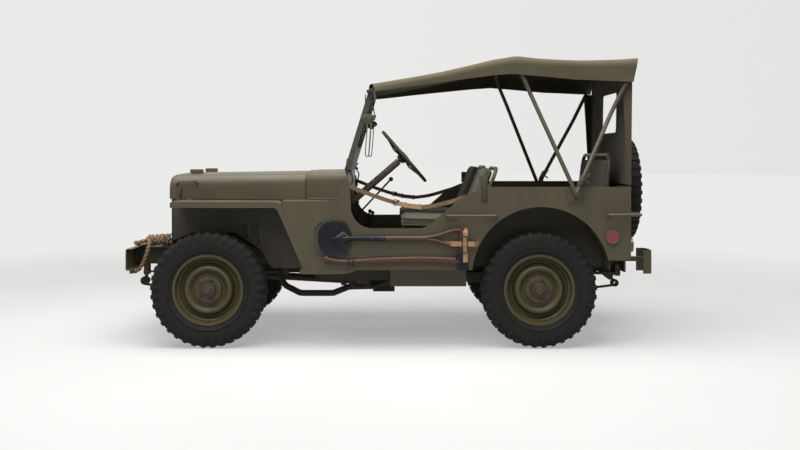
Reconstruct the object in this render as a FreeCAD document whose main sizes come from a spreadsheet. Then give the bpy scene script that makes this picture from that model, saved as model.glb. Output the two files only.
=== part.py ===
import FreeCAD, Part
import math
import os
import Sketcher

# An open 1/4-ton army 4x4 car with a canvas top. Millimetres.
# +X points to the rear, +Y to the car's right, +Z up; the ground is z = 0.
# Lengths along the car are stations: millimetres behind the front axle.

V = FreeCAD.Vector
doc = FreeCAD.newDocument("army_4x4_car")
sheet = doc.addObject("Spreadsheet::Sheet", "Sizes")

SIZES = [
    # name, value
    # wheels and running gear
    ("front_axle", -1150), ("wheel_base", 2032), ("track_half", 622), ("tyre_radius", 357),
    ("tyre_width", 160), ("lug_count", 37), ("lug_width", 29), ("lug_height", 20), ("rim_radius", 219),
    ("rim_width", 128), ("rim_steel", 5), ("bead_depth", 14), ("disc_offset", 34), ("disc_ring", 143),
    ("cap_radius", 50), ("hub_face", 700), ("hub_bore", 21), ("hub_gap", 0.3), ("kingpin_half", 540),
    ("kingpin_tilt", 7.5), ("knuckle_radius", 78), ("axle_tube", 34), ("diff_side", 190),
    ("diff_radius", 118), ("brake_radius", 135), ("arm_reach", 180), ("rod_radius", 12),
    ("rod_drop", 16),
    # frame
    ("rail_half", 371), ("rail_flange", 50), ("rail_height", 105), ("rail_web", 6),
    ("rail_front", -498), ("rail_back", 2600), ("rail_low", 380), ("rail_high", 487),
    ("rail_rear", 438), ("bumper_front", -510), ("bumper_low", 473), ("bumper_height", 135),
    ("bumper_half", 655), ("bumper_depth", 42), ("bumper_steel", 5), ("corner_gap", 105),
    ("corner_depth", 63), ("tow_jaw", 44), ("tow_eye", 20), ("spring_inset", 25),
    ("rear_spring_out", 31), ("shaft_radius", 26), ("spring_width", 45), ("spring_leaf", 7),
    ("spring_leaves", 6), ("spring_front_reach", 448), ("spring_back_reach", 535), ("spring_eye", 20),
    # body
    ("body_half", 730), ("sheet_steel", 3), ("body_back", 2581), ("sill_low", 485), ("tail_low", 544),
    ("step_long", 268), ("step_deep", 24), ("rest_rise", 68), ("shoulder_top", 905), ("rail_top", 991),
    ("door_low", 739), ("door_front", 885), ("cowl_front", 592), ("cowl_back", 862),
    ("cowl_top", 1082), ("arch_radius", 420), ("arch_height", 449), ("firewall_low", 640),
    ("house_half", 500), ("house_top", 890), ("hood_front", -289), ("hood_low", 905),
    ("hood_top_front", 1066), ("hood_top_back", 1078), ("hood_half_front", 420),
    ("hood_half_back", 548), ("hood_gap", 4), ("hinge_radius", 3.3), ("fender_top", 900),
    ("fender_front", -222), ("fender_knee", 448), ("fender_tail", 631), ("fender_lip", 37),
    ("fender_gap", 0.3), ("apron_gap", 0.3), ("apron_half_front", 412), ("apron_half_back", 540),
    ("apron_low", 640), ("grille_top", 1000), ("grille_half", 411),
    # windscreen, canopy and bows
    ("screen_foot", 850), ("screen_rise", 10), ("screen_head", 1008), ("screen_top", 1610),
    ("screen_half", 620), ("screen_bar", 34), ("screen_depth", 30), ("glass_steel", 6),
    ("screen_panel", 150), ("tool_stand", 17.3), ("canopy_inset", 70), ("canopy_cloth", 5),
    ("canopy_front", 1006), ("canopy_back", 2652), ("roof_front", 1634), ("roof_bow", 1806),
    ("roof_back", 1790), ("roof_fall", 154), ("bow_fall", 126), ("front_fall", 60), ("roof_round", 46),
    ("roof_crown", 10), ("curtain_foot", 2612), ("cloth_gap", 1.2), ("bow_tube", 13),
    ("bow_pivot", 2240), ("bow_pivot_high", 956), ("bow_inset", 28), ("bow_front_top", 1900),
    ("bow_rear_top", 2600),
    # cabin
    ("seat_width", 450), ("seat_front", 1180), ("seat_back", 1600), ("seat_top", 810),
    ("seat_driver", -395), ("seat_mate", 375), ("cushion_deep", 75), ("frame_tube", 12),
    ("wheel_rim_radius", 206), ("wheel_rim_tube", 10), ("column_angle", 41), ("column_side", -350),
    ("column_radius", 22), ("column_station", 1209), ("column_high", 1176), ("column_long", 855),
    ("box_height", 76),
    # spare wheel
    ("spare_side", 200), ("spare_high", 950), ("spare_gap", 144),
]


class Size(float):
    """A length that also carries the spreadsheet formula it comes from."""

    def __new__(cls, value, formula):
        made = float.__new__(cls, value)
        made.formula = formula
        return made

    def __add__(self, other):
        return joined(self, "+", other, float(self) + float(other))

    def __radd__(self, other):
        return joined(other, "+", self, float(other) + float(self))

    def __sub__(self, other):
        return joined(self, "-", other, float(self) - float(other))

    def __rsub__(self, other):
        return joined(other, "-", self, float(other) - float(self))

    def __mul__(self, other):
        return joined(self, "*", other, float(self) * float(other))

    def __rmul__(self, other):
        return joined(other, "*", self, float(other) * float(self))

    def __truediv__(self, other):
        return joined(self, "/", other, float(self) / float(other))

    def __neg__(self):
        return joined(-1.0, "*", self, -float(self))


def formula_of(value):
    return value.formula if isinstance(value, Size) else repr(float(value))


def joined(left, sign, right, value):
    return Size(value, "(%s %s %s)" % (formula_of(left), sign, formula_of(right)))


class Names:
    """The sizes of the sheet, one attribute each."""


S = Names()
for line, (name, value) in enumerate(SIZES, start=1):
    sheet.set("A%d" % line, name)
    sheet.set("B%d" % line, str(value))
    sheet.setAlias("B%d" % line, name)
doc.recompute()
for name, _ in SIZES:
    setattr(S, name, Size(sheet.get(name), "Sizes." + name))


# heights that follow from the frame: the front floor and the load bed lie on the rails
FLOOR_TOP = S.rail_low + S.rail_height + S.sheet_steel
BED_TOP = S.rail_rear + S.rail_height + S.sheet_steel


def bind(thing, prop, value):
    if isinstance(value, Size):
        thing.setExpression(prop, value.formula)
    elif "." in prop:
        thing.setExpression(prop, repr(float(value)))
    else:
        setattr(thing, prop, float(value))


def at(station):
    """x of a station, counted from the front axle."""
    return S.front_axle + station


def sin(degrees):
    return math.sin(math.radians(degrees))


def cos(degrees):
    return math.cos(math.radians(degrees))


# ---------------------------------------------------------------- helpers: sketches

def corner_arc(before, here, after):
    """Centre, radius and tangent points of the arc that rounds one corner."""
    corner = V(here[0], here[1], 0)
    into = (V(before[0], before[1], 0) - corner).normalize()
    out = (V(after[0], after[1], 0) - corner).normalize()
    half = into.getAngle(out) / 2
    reach = here[2] / math.tan(half)
    middle = (into + out).normalize() * (here[2] / math.sin(half))
    return corner + middle, corner + into * reach, corner + out * reach


def outline(body, plane, offset, rows):
    """A closed, fully dimensioned sketch. A row is (across, up) or (across, up, corner radius)."""
    made = body.newObject("Sketcher::SketchObject", "outline")
    made.AttachmentSupport = [(role_plane(body, plane), "")]
    made.MapMode = "FlatFace"
    bind(made, "AttachmentOffset.Base.z", offset)
    count = len(rows)
    arcs = [corner_arc(rows[i - 1], rows[i], rows[(i + 1) % count]) if len(rows[i]) > 2 else None
            for i in range(count)]
    for i in range(count):
        k = (i + 1) % count
        start = arcs[i][2] if arcs[i] else V(rows[i][0], rows[i][1], 0)
        end = arcs[k][1] if arcs[k] else V(rows[k][0], rows[k][1], 0)
        made.addGeometry(Part.LineSegment(start, end), False)
    for i, row in enumerate(rows):
        if arcs[i]:
            round_corner(made, i, (i - 1) % count, row, arcs[i])
        else:
            made.addConstraint(Sketcher.Constraint("Coincident", (i - 1) % count, 2, i, 1))
            pin_point(made, i, 1, row)
    return made


def role_plane(body, plane):
    return [f for f in body.Origin.OriginFeatures if f.Role == plane + "_Plane"][0]


def pin_point(made, geometry, end, row):
    for kind, value in (("DistanceX", row[0]), ("DistanceY", row[1])):
        constraint = made.addConstraint(Sketcher.Constraint(kind, -1, 1, geometry, end, float(value)))
        bind_constraint(made, constraint, value)


def bind_constraint(made, constraint, value):
    if isinstance(value, Size):
        made.setExpression("Constraints[%d]" % constraint, value.formula)


def round_corner(made, line_out, line_in, row, arc):
    centre, first, last = arc
    radius = float(row[2])
    start = math.atan2(first.y - centre.y, first.x - centre.x)
    end = math.atan2(last.y - centre.y, last.x - centre.x)
    turns_left = (end - start) % (2 * math.pi) < math.pi
    if not turns_left:
        start, end = end, start
    if end < start:
        end += 2 * math.pi
    geometry = made.addGeometry(Part.ArcOfCircle(Part.Circle(centre, V(0, 0, 1), radius), start, end), False)
    entry, leave = (1, 2) if turns_left else (2, 1)
    made.addConstraint(Sketcher.Constraint("Tangent", line_in, 2, geometry, entry))
    made.addConstraint(Sketcher.Constraint("Tangent", line_out, 1, geometry, leave))
    constraint = made.addConstraint(Sketcher.Constraint("Radius", geometry, radius))
    bind_constraint(made, constraint, row[2])
    corner = made.addGeometry(Part.Point(V(row[0], row[1], 0)), True)
    made.addConstraint(Sketcher.Constraint("PointOnObject", corner, 1, line_in))
    made.addConstraint(Sketcher.Constraint("PointOnObject", corner, 1, line_out))
    pin_point(made, corner, 1, row)


# ---------------------------------------------------------------- helpers: solids

def new_body(name):
    return doc.addObject("PartDesign::Body", name)


def slab(name, plane, low, high, rows):
    """A flat piece with the given outline, between two heights over its plane."""
    body = new_body(name)
    start = -high if plane == "XZ" else low
    made = body.newObject("PartDesign::Pad", "thickness")
    made.Profile = outline(body, plane, start, rows)
    bind(made, "Length", high - low)
    doc.recompute()
    return body


def side_slab(name, side, inner, outer, rows):
    """A slab in the XZ plane on one side of the car; inner and outer are distances from its middle."""
    low, high = (inner, outer) if side > 0 else (-outer, -inner)
    return slab(name, "XZ", low, high, rows)


def turned(name, rows, centre, axis="Y"):
    """A revolved piece. A row is (along the axis, radius), seen from the centre."""
    body = new_body(name)
    made = body.newObject("PartDesign::Revolution", "turn")
    plane = {"Y": "YZ", "X": "XZ", "Z": "XZ"}[axis]
    if axis == "Z":
        rows = [(row[1], row[0]) + tuple(row[2:]) for row in rows]
    sketch = outline(body, plane, 0, rows)
    made.Profile = sketch
    made.ReferenceAxis = (sketch, ["V_Axis" if axis == "Z" else "H_Axis"])
    made.Angle = 360
    place(body, centre)
    doc.recompute()
    return body


def place(thing, spot):
    for letter, value in zip("xyz", spot):
        bind(thing, "Placement.Base." + letter, value)
    return thing


def box(name, x_span, y_span, z_span):
    made = doc.addObject("Part::Box", name)
    for prop, span in (("Length", x_span), ("Width", y_span), ("Height", z_span)):
        bind(made, prop, span[1] - span[0])
    return place(made, (x_span[0], y_span[0], z_span[0]))


AXIS_TURN = {"X": FreeCAD.Rotation(V(0, 1, 0), 90), "Y": FreeCAD.Rotation(V(1, 0, 0), -90),
             "Z": FreeCAD.Rotation()}


def rod(name, spot, axis, length, radius):
    """A round bar from a spot along X, Y or Z."""
    made = doc.addObject("Part::Cylinder", name)
    bind(made, "Radius", radius)
    bind(made, "Height", length)
    made.Placement = FreeCAD.Placement(V(), AXIS_TURN[axis])
    return place(made, spot)


def rounded_path(points, bend):
    """Straight runs joined by tangent arcs of one bend radius, limited by the shorter run."""
    knots = [V(*p) for p in points]
    edges, start = [], knots[0]
    for before, here, after in zip(knots, knots[1:], knots[2:]):
        into, out = before - here, after - here
        shorter = min(into.Length, out.Length)
        into.normalize()
        out.normalize()
        half = into.getAngle(out) / 2
        radius = min(bend, 0.45 * shorter * math.tan(half))
        reach = radius / math.tan(half)
        first, last = here + into * reach, here + out * reach
        middle = here + (into + out).normalize() * (radius / math.sin(half) - radius)
        edges.append(Part.LineSegment(start, first).toShape())
        edges.append(Part.Arc(first, middle, last).toShape())
        start = last
    edges.append(Part.LineSegment(start, knots[-1]).toShape())
    return Part.Wire(edges)


def tube(name, points, radius, bend=60.0):
    """A bent round tube along straight runs and arcs."""
    path = rounded_path([tuple(float(c) for c in p) for p in points], float(bend))
    start = path.Edges[0].Vertexes[0].Point
    along = V(*[float(c) for c in points[1]]) - V(*[float(c) for c in points[0]])
    ring = Part.Wire(Part.makeCircle(float(radius), start, along))
    made = doc.addObject("Part::Feature", name)
    made.Shape = path.makePipeShell([ring], True, False)
    return made


def strip(name, points, width_way, width, thick, bend=30.0):
    """A flat strap along straight runs and arcs; width_way is the direction of its width."""
    path = rounded_path([tuple(float(c) for c in p) for p in points], float(bend))
    start = V(*[float(c) for c in points[0]])
    along = (V(*[float(c) for c in points[1]]) - start).normalize()
    wide = V(*width_way).normalize() * (float(width) / 2)
    deep = along.cross(V(*width_way)).normalize() * (float(thick) / 2)
    corners = [start + wide + deep, start - wide + deep, start - wide - deep, start + wide - deep]
    ring = Part.makePolygon(corners + corners[:1])
    made = doc.addObject("Part::Feature", name)
    made.Shape = path.makePipeShell([ring], True, False)
    return made


def loft(name, wires):
    made = doc.addObject("Part::Feature", name)
    made.Shape = Part.makeLoft(wires, True, True)
    return made


def rounded_wire(points, lift):
    """A closed wire from rows (across, up[, radius]); lift turns a row into a point in space."""
    count = len(points)
    edges = []
    arcs = [corner_arc(points[i - 1], points[i], points[(i + 1) % count]) if len(points[i]) > 2 else None
            for i in range(count)]
    for i in range(count):
        k = (i + 1) % count
        if arcs[i]:
            centre, first, last = arcs[i]
            toward = V(points[i][0], points[i][1], 0) - centre
            middle = centre + toward.normalize() * float(points[i][2])
            edges.append(Part.Arc(lift(first), lift(middle), lift(last)).toShape())
        start = arcs[i][2] if arcs[i] else V(points[i][0], points[i][1], 0)
        end = arcs[k][1] if arcs[k] else V(points[k][0], points[k][1], 0)
        edges.append(Part.LineSegment(lift(start), lift(end)).toShape())
    return Part.Wire(edges)


def across(x):
    """Rows are (y, z) in the cross plane at x."""
    return lambda p: V(float(x), p.x, p.y)


def arch_rows(half, low, top, radius, thick, crown=0.0):
    """A sheet bent into an arch over the car: outside up and over, inside back."""
    inner = max(float(radius) - float(thick), 1.0)
    outside = [(-half, low), (-half, top, radius), (0, top + crown, 4000.0) if crown else None,
               (half, top, radius), (half, low)]
    inside = [(half - thick, low), (half - thick, top - thick, inner),
              (0, top + crown - thick, 4000.0) if crown else None,
              (thick - half, top - thick, inner), (thick - half, low)]
    return [row for row in outside + inside if row]


def fuse(name, parts):
    made = doc.addObject("Part::MultiFuse", name)
    made.Shapes = parts
    return made


def cut(name, base, tool):
    made = doc.addObject("Part::Cut", name)
    made.Base = base
    made.Tool = tool
    return made


def group(name, parts):
    """Separate solids of one node."""
    made = doc.addObject("Part::Compound", name)
    made.Links = parts
    return made


NODES = []


def node(label, thing):
    thing.Label = label
    NODES.append(thing)
    return thing


# ---------------------------------------------------------------- frame

def rail_rows():
    """Side view of a frame rail: low between the axles, raised over both."""
    low, high, tall = S.rail_low, S.rail_high, S.rail_height
    under = [(at(S.rail_front), high), (at(530), high, 150), (at(670), low, 150),
             (at(1730), low, 150), (at(1850), S.rail_rear, 150), (at(S.rail_back), S.rail_rear)]
    over = [(x, z + tall) + tuple(rest) for x, z, *rest in reversed(under)]
    return under + over


def frame():
    tall, flange, web = S.rail_height, S.rail_flange, S.rail_web
    parts = []
    for side in (-1, 1):
        whole = side_slab("rail", side, S.rail_half - flange, S.rail_half, rail_rows())
        hollow_rows = [(x, z + (-web if i > 5 else web)) + tuple(rest)
                       for i, (x, z, *rest) in enumerate(rail_rows())]
        hollow = side_slab("rail_hollow", side, S.rail_half - flange - 1, S.rail_half - web, hollow_rows)
        parts.append(cut("rail_channel", whole, hollow))
    inside = S.rail_half - S.rail_web
    # station, underside, width along the car, height
    members = [(-470, S.rail_high + 12, 70, 80), (900, S.rail_low - 28, 80, 33),
               (1180, S.rail_low + 12, 90, 80), (1600, S.rail_low + 12, 60, 75),
               (2510, S.rail_rear + 12, 80, 80)]
    for station, under, wide, high in members:
        parts.append(box("member", (at(station), at(station + wide)), (-inside, inside), (under, under + high)))
    return fuse("frame", parts)


def front_bumper():
    """A channel across the frame horns, open to the rear."""
    front, low, tall, half = at(S.bumper_front), S.bumper_low, S.bumper_height, S.bumper_half
    steel, deep = S.bumper_steel, S.bumper_depth
    rows = [(front, low, 12), (front, low + tall, 12), (front + deep, low + tall),
            (front + deep, low + tall - steel), (front + steel, low + tall - steel, 7),
            (front + steel, low + steel, 7), (front + deep, low + steel), (front + deep, low)]
    channel = slab("bumper", "XZ", -half, half, rows)
    horn_x = at(S.rail_front)
    gussets = [box("gusset", (front + steel, horn_x), (side * S.rail_half - 25, side * S.rail_half + 25),
                   (low + steel, low + tall - steel)) for side in (-1, 1)]
    return fuse("front_bumper", [channel] + gussets)


def rear_bumperettes():
    """Two curved corner bumpers, C-shaped seen from above, on arms from the frame."""
    parts = []
    front, steel = at(S.rail_back + S.corner_gap), 6
    back = front + S.corner_depth
    for side in (-1, 1):
        middle = side * S.rail_half + side * 70
        rows = [(front, middle - 95), (back - 8, middle - 95, 30), (back, middle, 120),
                (back - 8, middle + 95, 30), (front, middle + 95), (front, middle + 95 - steel),
                (back - 8 - steel, middle + 95 - steel, 24), (back - steel, middle, 114),
                (back - 8 - steel, middle - 95 + steel, 24), (front, middle - 95 + steel)]
        parts.append(slab("bumperette", "XY", 441, 587, rows))
        arm = box("arm", (at(S.rail_back), back - steel), (middle - 20, middle + 20),
                  (S.rail_rear + 74, S.rail_rear + 102))
        parts.append(arm)
        low, high = sorted((side * S.rail_half - side * 20, middle + side * 20))
        parts.append(box("arm_foot", (at(S.rail_back), at(S.rail_back) + 12), (low, high),
                         (S.rail_rear + 5, S.rail_rear + 85)))
    left = fuse("bumperette_left", parts[:3])
    right = fuse("bumperette_right", parts[3:])
    return group("rear_bumperettes", [left, right])


def tow_pintle():
    """A tow hook on the rear member: mounting plate, shank and a closed jaw with its eye."""
    back, high = at(S.rail_back), S.rail_rear + 50
    plate = box("plate", (back, back + 12), (-60, 60), (high - 50, high + 50))
    tie = box("tie", (at(2590), back), (-60, 60), (high - 36, high + 36))
    shank = rod("shank", (back + 12, 0, high), "X", 32, 24)
    rows = [(back + 38, high - 42, 10), (back + 106, high - 42, 30), (back + 114, high + 10, 20),
            (back + 94, high + 40, 12), (back + 38, high + 46, 10)]
    jaw = slab("jaw", "XZ", -S.tow_jaw / 2, S.tow_jaw / 2, rows)
    eye = rod("eye", (back + 76, -S.tow_jaw, high), "Y", S.tow_jaw * 2, S.tow_eye)
    return cut("tow_pintle", fuse("pintle", [tie, plate, shank, jaw]), eye)


# ---------------------------------------------------------------- axles, springs and wheels

def front_axle():
    high, bowl = S.tyre_radius, S.diff_radius
    tube_half = S.kingpin_half - S.knuckle_radius - 6
    parts = [rod("axle_tube", (at(0), -tube_half, high), "Y", tube_half * 2, S.axle_tube)]
    parts.append(turned("diff", [(-95, 0), (-80, bowl * 0.75, 30), (-20, bowl, 30), (20, bowl, 30),
                                 (80, bowl * 0.75, 30), (95, 0)], (at(0), S.diff_side, high), "X"))
    for side in (-1, 1):
        ball = doc.addObject("Part::Sphere", "ball")
        bind(ball, "Radius", S.knuckle_radius - 14.8 - S.hub_gap)
        parts.append(place(ball, (at(0), side * S.kingpin_half, high)))
        low, top = sorted((side * tube_half, side * (S.kingpin_half - 30)))
        parts.append(rod("neck", (at(0), low, high), "Y", top - low, S.axle_tube))
        parts.append(spring_pad(0, side * (S.rail_half - S.spring_inset)))
    return fuse("front_axle", parts)


def spring_pad(station, middle):
    """The seat of a leaf spring on its axle tube."""
    wide = S.spring_width / 2
    return box("spring_pad", (at(station - 45), at(station + 45)), (middle - wide, middle + wide),
               (S.tyre_radius - 20, spring_low()))


def spring_low():
    """Underside of the springs where they sit on the axles."""
    return S.tyre_radius + S.axle_tube + 4


def rear_axle():
    high, bowl, station = S.tyre_radius, S.diff_radius, S.wheel_base
    half = S.track_half - 10
    parts = [rod("axle_tube", (at(station), -half, high), "Y", half * 2, S.axle_tube)]
    parts.append(turned("diff", [(-95, 0), (-80, bowl * 0.75, 30), (-20, bowl, 30), (20, bowl, 30),
                                 (80, bowl * 0.75, 30), (95, 0)], (at(station), S.diff_side, high), "X"))
    for side in (-1, 1):
        parts.append(spring_pad(station, side * (S.rail_half + S.rear_spring_out)))
        low, top = sorted((side * (half - 12), side * half))
        parts.append(rod("backing_plate", (at(station), low, high), "Y", top - low, S.brake_radius))
        low, top = sorted((side * (half - 5), side * (S.hub_face - 6 - S.hub_gap)))
        parts.append(rod("stub", (at(station), low, high), "Y", top - low, S.hub_bore - S.hub_gap))
    return fuse("rear_axle", parts)


def leaf_spring(name, station, reach, middle, hang_top):
    """Stacked leaves, each longer than the one below, with shackled eyes that hang from the frame."""
    wide = S.spring_width / 2
    low, high = middle - wide, middle + wide
    leaf, count = S.spring_leaf, int(S.spring_leaves)
    base = spring_low() + 0.3
    parts = []
    for i in range(count):
        share = reach * ((i + 1.6) / (count + 0.6))
        parts.append(box("leaf", (at(station) - share, at(station) + share), (low, high),
                         (base + leaf * i, base + leaf * (i + 1))))
    eye_high = base + leaf * (count - 0.5)
    for end in (-1, 1):
        x = at(station) + reach * end
        parts.append(rod("eye", (x, low, eye_high), "Y", high - low, S.spring_eye))
        parts.append(rod("pin", (x, low - 8, eye_high), "Y", high - low + 16, 9))
        for cheek in (low - 7, high + 1):
            parts.append(box("cheek", (x - 16, x + 16), (cheek, cheek + 6), (eye_high - 18, hang_top)))
    return fuse(name, parts)


def leaf_springs():
    """Front springs under the rails; rear springs beside them on stub hangers."""
    springs = []
    for side in (-1, 1):
        springs.append(leaf_spring("front_spring", 0, S.spring_front_reach,
                                   side * (S.rail_half - S.spring_inset), S.rail_high))
        middle = side * (S.rail_half + S.rear_spring_out)
        eye_high = spring_low() + 0.3 + S.spring_leaf * (S.spring_leaves - 0.5)
        spring = leaf_spring("rear_spring", S.wheel_base, S.spring_back_reach, middle, eye_high + 50)
        low, high = sorted((side * S.rail_half, middle + side * (S.spring_width / 2 + 7)))
        hangers = [rod("hanger", (at(S.wheel_base) + S.spring_back_reach * end, low, eye_high + 36), "Y",
                       high - low, 13) for end in (-1, 1)]
        springs.append(fuse("rear_spring_hung", [spring] + hangers))
    return group("leaf_springs", springs)


def knuckle(side):
    """Steering knuckle: housing round the axle's ball, spindle, brake plate and steering arm."""
    high, outer = S.tyre_radius, S.knuckle_radius
    spindle, tip = S.hub_bore - S.hub_gap, S.hub_face - S.kingpin_half - 6 - S.hub_gap
    rows = [(66, 0), (66, 56), (-20, outer - 12), (-20, outer), (30, outer), (70, 66), (70, spindle),
            (tip, spindle), (tip, 0)]
    shell = turned("housing", [(side * y, r) for y, r in rows], (at(0), side * S.kingpin_half, high))
    low, top = sorted((side * (S.kingpin_half + 66), side * (S.kingpin_half + 74)))
    plate = rod("backing_plate", (at(0), low, high), "Y", top - low, S.brake_radius)
    low, top = sorted((side * (S.kingpin_half - 30), side * (S.kingpin_half + 4)))
    arm = box("steering_arm", (at(62), at(S.arm_reach + 18)), (low, top), (high - 52, high - 26))
    return fuse("knuckle", [shell, plate, arm])


def tie_rod():
    """Rod that joins the two steering arms, just under them."""
    half = S.kingpin_half - 13
    high = S.tyre_radius - 52 - S.rod_radius - S.rod_drop
    return rod("tie_rod", (at(S.arm_reach), -half, high), "Y", half * 2, S.rod_radius)


def wheel_rows(side):
    """Pressed steel wheel: rim with bead seats and flanges, dished disc, hub barrel and closed cap."""
    rim, half, steel = S.rim_radius, S.rim_width / 2, S.rim_steel
    seat, well = rim - S.bead_depth, rim - S.bead_depth - 22
    disc, ring, face = S.disc_offset, S.disc_ring, S.hub_face - S.track_half
    bore, cap = S.hub_bore, S.cap_radius
    rows = [(-half, rim), (-half + steel, rim), (-half + steel, seat), (-30, seat), (-18, well), (18, well),
            (30, seat), (half - steel, seat), (half - steel, rim), (half, rim), (half, seat - steel),
            (34, seat - steel), (22, well - steel),
            (disc + 14, ring + 8), (disc + 20, ring - 10), (disc + 6, 95), (disc + 6, 70),
            (face, cap), (face, 0), (face - 6, 0), (face - 6, bore), (-2, bore), (-2, cap - 8),
            (disc - 10, cap), (disc - 2, 97), (disc + 12, ring - 12), (disc + 6, ring),
            (14, well - steel), (-22, well - steel), (-34, seat - steel), (-half, seat - steel)]
    return [(side * y, r) for y, r in rows]


def wheel_disc(name, side, centre):
    return turned(name, wheel_rows(side), centre)


def tyre_rows():
    """One side of the casing, from the bead to the floor of the tread grooves: (across, radius)."""
    rim, half, floor = S.rim_radius - S.bead_depth + 0.3, S.tyre_width / 2, S.tyre_radius - S.lug_height
    bead = S.rim_width / 2 - S.rim_steel - 0.3
    return [(bead, rim), (bead, S.rim_radius + 4), (half, (rim + floor) / 2), (half - 3, floor)]


def tyre_form():
    """Bar-tread tyre: one flat-sided sector of the casing with its lug, repeated round the axle."""
    count = int(S.lug_count)
    pitch = 360.0 / count
    rows = [(y, -r) for y, r in tyre_rows()]
    rows += [(-y, z) for y, z in reversed(rows)]
    foot, top, half = S.tyre_radius - S.lug_height, S.tyre_radius, S.tyre_width / 2 - 3
    reach, deep = top * math.tan(math.radians(pitch / 2)), top * 1.0
    casing = doc.addObject("Part::Common", "tyre_sector")
    casing.Base = slab("casing", "YZ", -reach, reach, rows)
    casing.Tool = slab("wedge", "XZ", -S.tyre_width, S.tyre_width, [(0, 0), (-reach, -deep), (reach, -deep)])
    lug = slab("lug", "YZ", -S.lug_width / 2, S.lug_width / 2,
               [(-half, 1 - foot), (half, 1 - foot), (half, -foot), (half - 7, -top), (7 - half, -top),
                (-half, -foot)])
    doc.recompute()
    sector = casing.Shape.fuse(lug.Shape)
    turned_on = [sector.copy() for _ in range(count)]
    for i, piece in enumerate(turned_on):
        piece.rotate(V(), V(0, 1, 0), i * pitch)
    return turned_on[0].multiFuse(turned_on[1:])


def tyre(name, form, centre):
    made = doc.addObject("Part::Feature", name)
    made.Shape = form
    return place(made, centre)


# ---------------------------------------------------------------- body

def side_panel(side):
    """One side of the tub: cowl side, low door cut, body side, rear wheel arch and bow rest."""
    inner = S.body_half - S.sheet_steel
    foot, knee = at(S.fender_tail) + S.fender_gap, at(S.fender_knee) + S.fender_gap
    rows = [(foot, S.sill_low), (at(S.wheel_base), S.sill_low), (at(S.wheel_base), S.tail_low),
            (at(S.body_back), S.tail_low, 25), (at(S.body_back), S.rail_top), (at(1700), S.rail_top, 200),
            (at(1560), S.rail_top - 56, 150), (at(1333), S.door_low, 120), (at(S.door_front), S.door_low, 130),
            (at(S.door_front - 15), S.rail_top + 43), (at(846), S.rail_top + 43), (at(785), S.shoulder_top, 90),
            (knee, S.shoulder_top)]
    skin = side_slab("skin", side, inner, S.body_half, rows)
    low, high = sorted((side * inner, side * S.body_half))
    rest = box("bow_rest", (at(1658), at(1708)), (low, high), (S.rail_top - 10, S.rail_top + S.rest_rise))
    arch = rod("arch", (at(S.wheel_base + 3), low - 10, S.arch_height), "Y", 30, S.arch_radius)
    return cut("side_panel", fuse("side", [skin, rest]), arch)


def column_hole(name):
    """The clearance hole of the steering column, as a bar on its line."""
    return leaned(rod(name, (0, 0, 0), "Z", 700, S.column_radius + 5), 985)


def floor_pan():
    """Front floor, step up to the load bed, toe board and the fuel well under the driver."""
    thick, half, house = S.sheet_steel, S.body_half - S.sheet_steel, S.house_half - S.sheet_steel
    front, step, back = at(760), at(1668), at(S.body_back) - S.sheet_steel
    arch_front, arch_back = at(S.wheel_base + 3) - S.arch_radius, at(S.wheel_base + 3) + S.arch_radius
    floor = slab("floor", "XY", FLOOR_TOP - thick, FLOOR_TOP,
                 [(front, -half), (arch_front, -half), (arch_front, -house), (step, -house),
                  (step, house), (arch_front, house), (arch_front, half), (front, half)])
    bed = slab("bed", "XY", BED_TOP - thick, BED_TOP,
               [(step - thick, -house), (arch_back, -house), (arch_back, -half), (back, -half),
                (back, half), (arch_back, half), (arch_back, house), (step - thick, house)])
    riser = box("riser", (step - thick, step), (-house, house), (FLOOR_TOP - thick, BED_TOP))
    toe_rows = [(front, FLOOR_TOP - thick), (at(600), S.firewall_low), (at(600), S.firewall_low + 4),
                (at(762), FLOOR_TOP)]
    toe = slab("toe_board", "XZ", -half, half, toe_rows)
    well_x, well_y = (at(1120), at(1590)), (-600, -440)
    outer = box("well", well_x, well_y, (S.rail_low - 10, FLOOR_TOP - thick))
    inner = box("well_inside", (well_x[0] + thick, well_x[1] - thick), (well_y[0] + thick, well_y[1] - thick),
                (S.rail_low - 10 + thick, FLOOR_TOP + 10))
    whole = fuse("floor_parts", [floor, bed, riser, toe, outer])
    return cut("floor_pan", whole, fuse("floor_holes", [inner, column_hole("toe_hole")]))


def rear_panel():
    half = S.body_half - S.sheet_steel
    rows = [(-half, S.tail_low), (half, S.tail_low), (half, S.rail_top), (-half, S.rail_top)]
    return slab("rear_panel", "YZ", at(S.body_back) - S.sheet_steel, at(S.body_back), rows)


def wheelhouses():
    """Boxes over the rear wheels, open below and outwards."""
    houses = []
    front, back = at(S.wheel_base + 3) - S.arch_radius, at(S.wheel_base + 3) + S.arch_radius
    for side in (-1, 1):
        outer_side = S.body_half - S.sheet_steel
        steel, low = S.sheet_steel, FLOOR_TOP - S.sheet_steel
        run = 190
        rows = [(front, low), (front, low + 80, 60), (front + run, S.house_top, 90),
                (back - run, S.house_top, 90), (back, low + 80, 60), (back, low)]
        outer = side_slab("house", side, S.house_half - steel, outer_side, rows)
        top = S.house_top - steel
        inner_rows = [(front + steel, low - 30), (front + steel, low + 80, 60), (front + run + 1, top, 87),
                      (back - run - 1, top, 87), (back - steel, low + 80, 60), (back - steel, low - 30)]
        inner = side_slab("house_inside", side, S.house_half, outer_side + 5, inner_rows)
        houses.append(cut("wheelhouse", outer, inner))
    return group("wheelhouses", houses)


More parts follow.
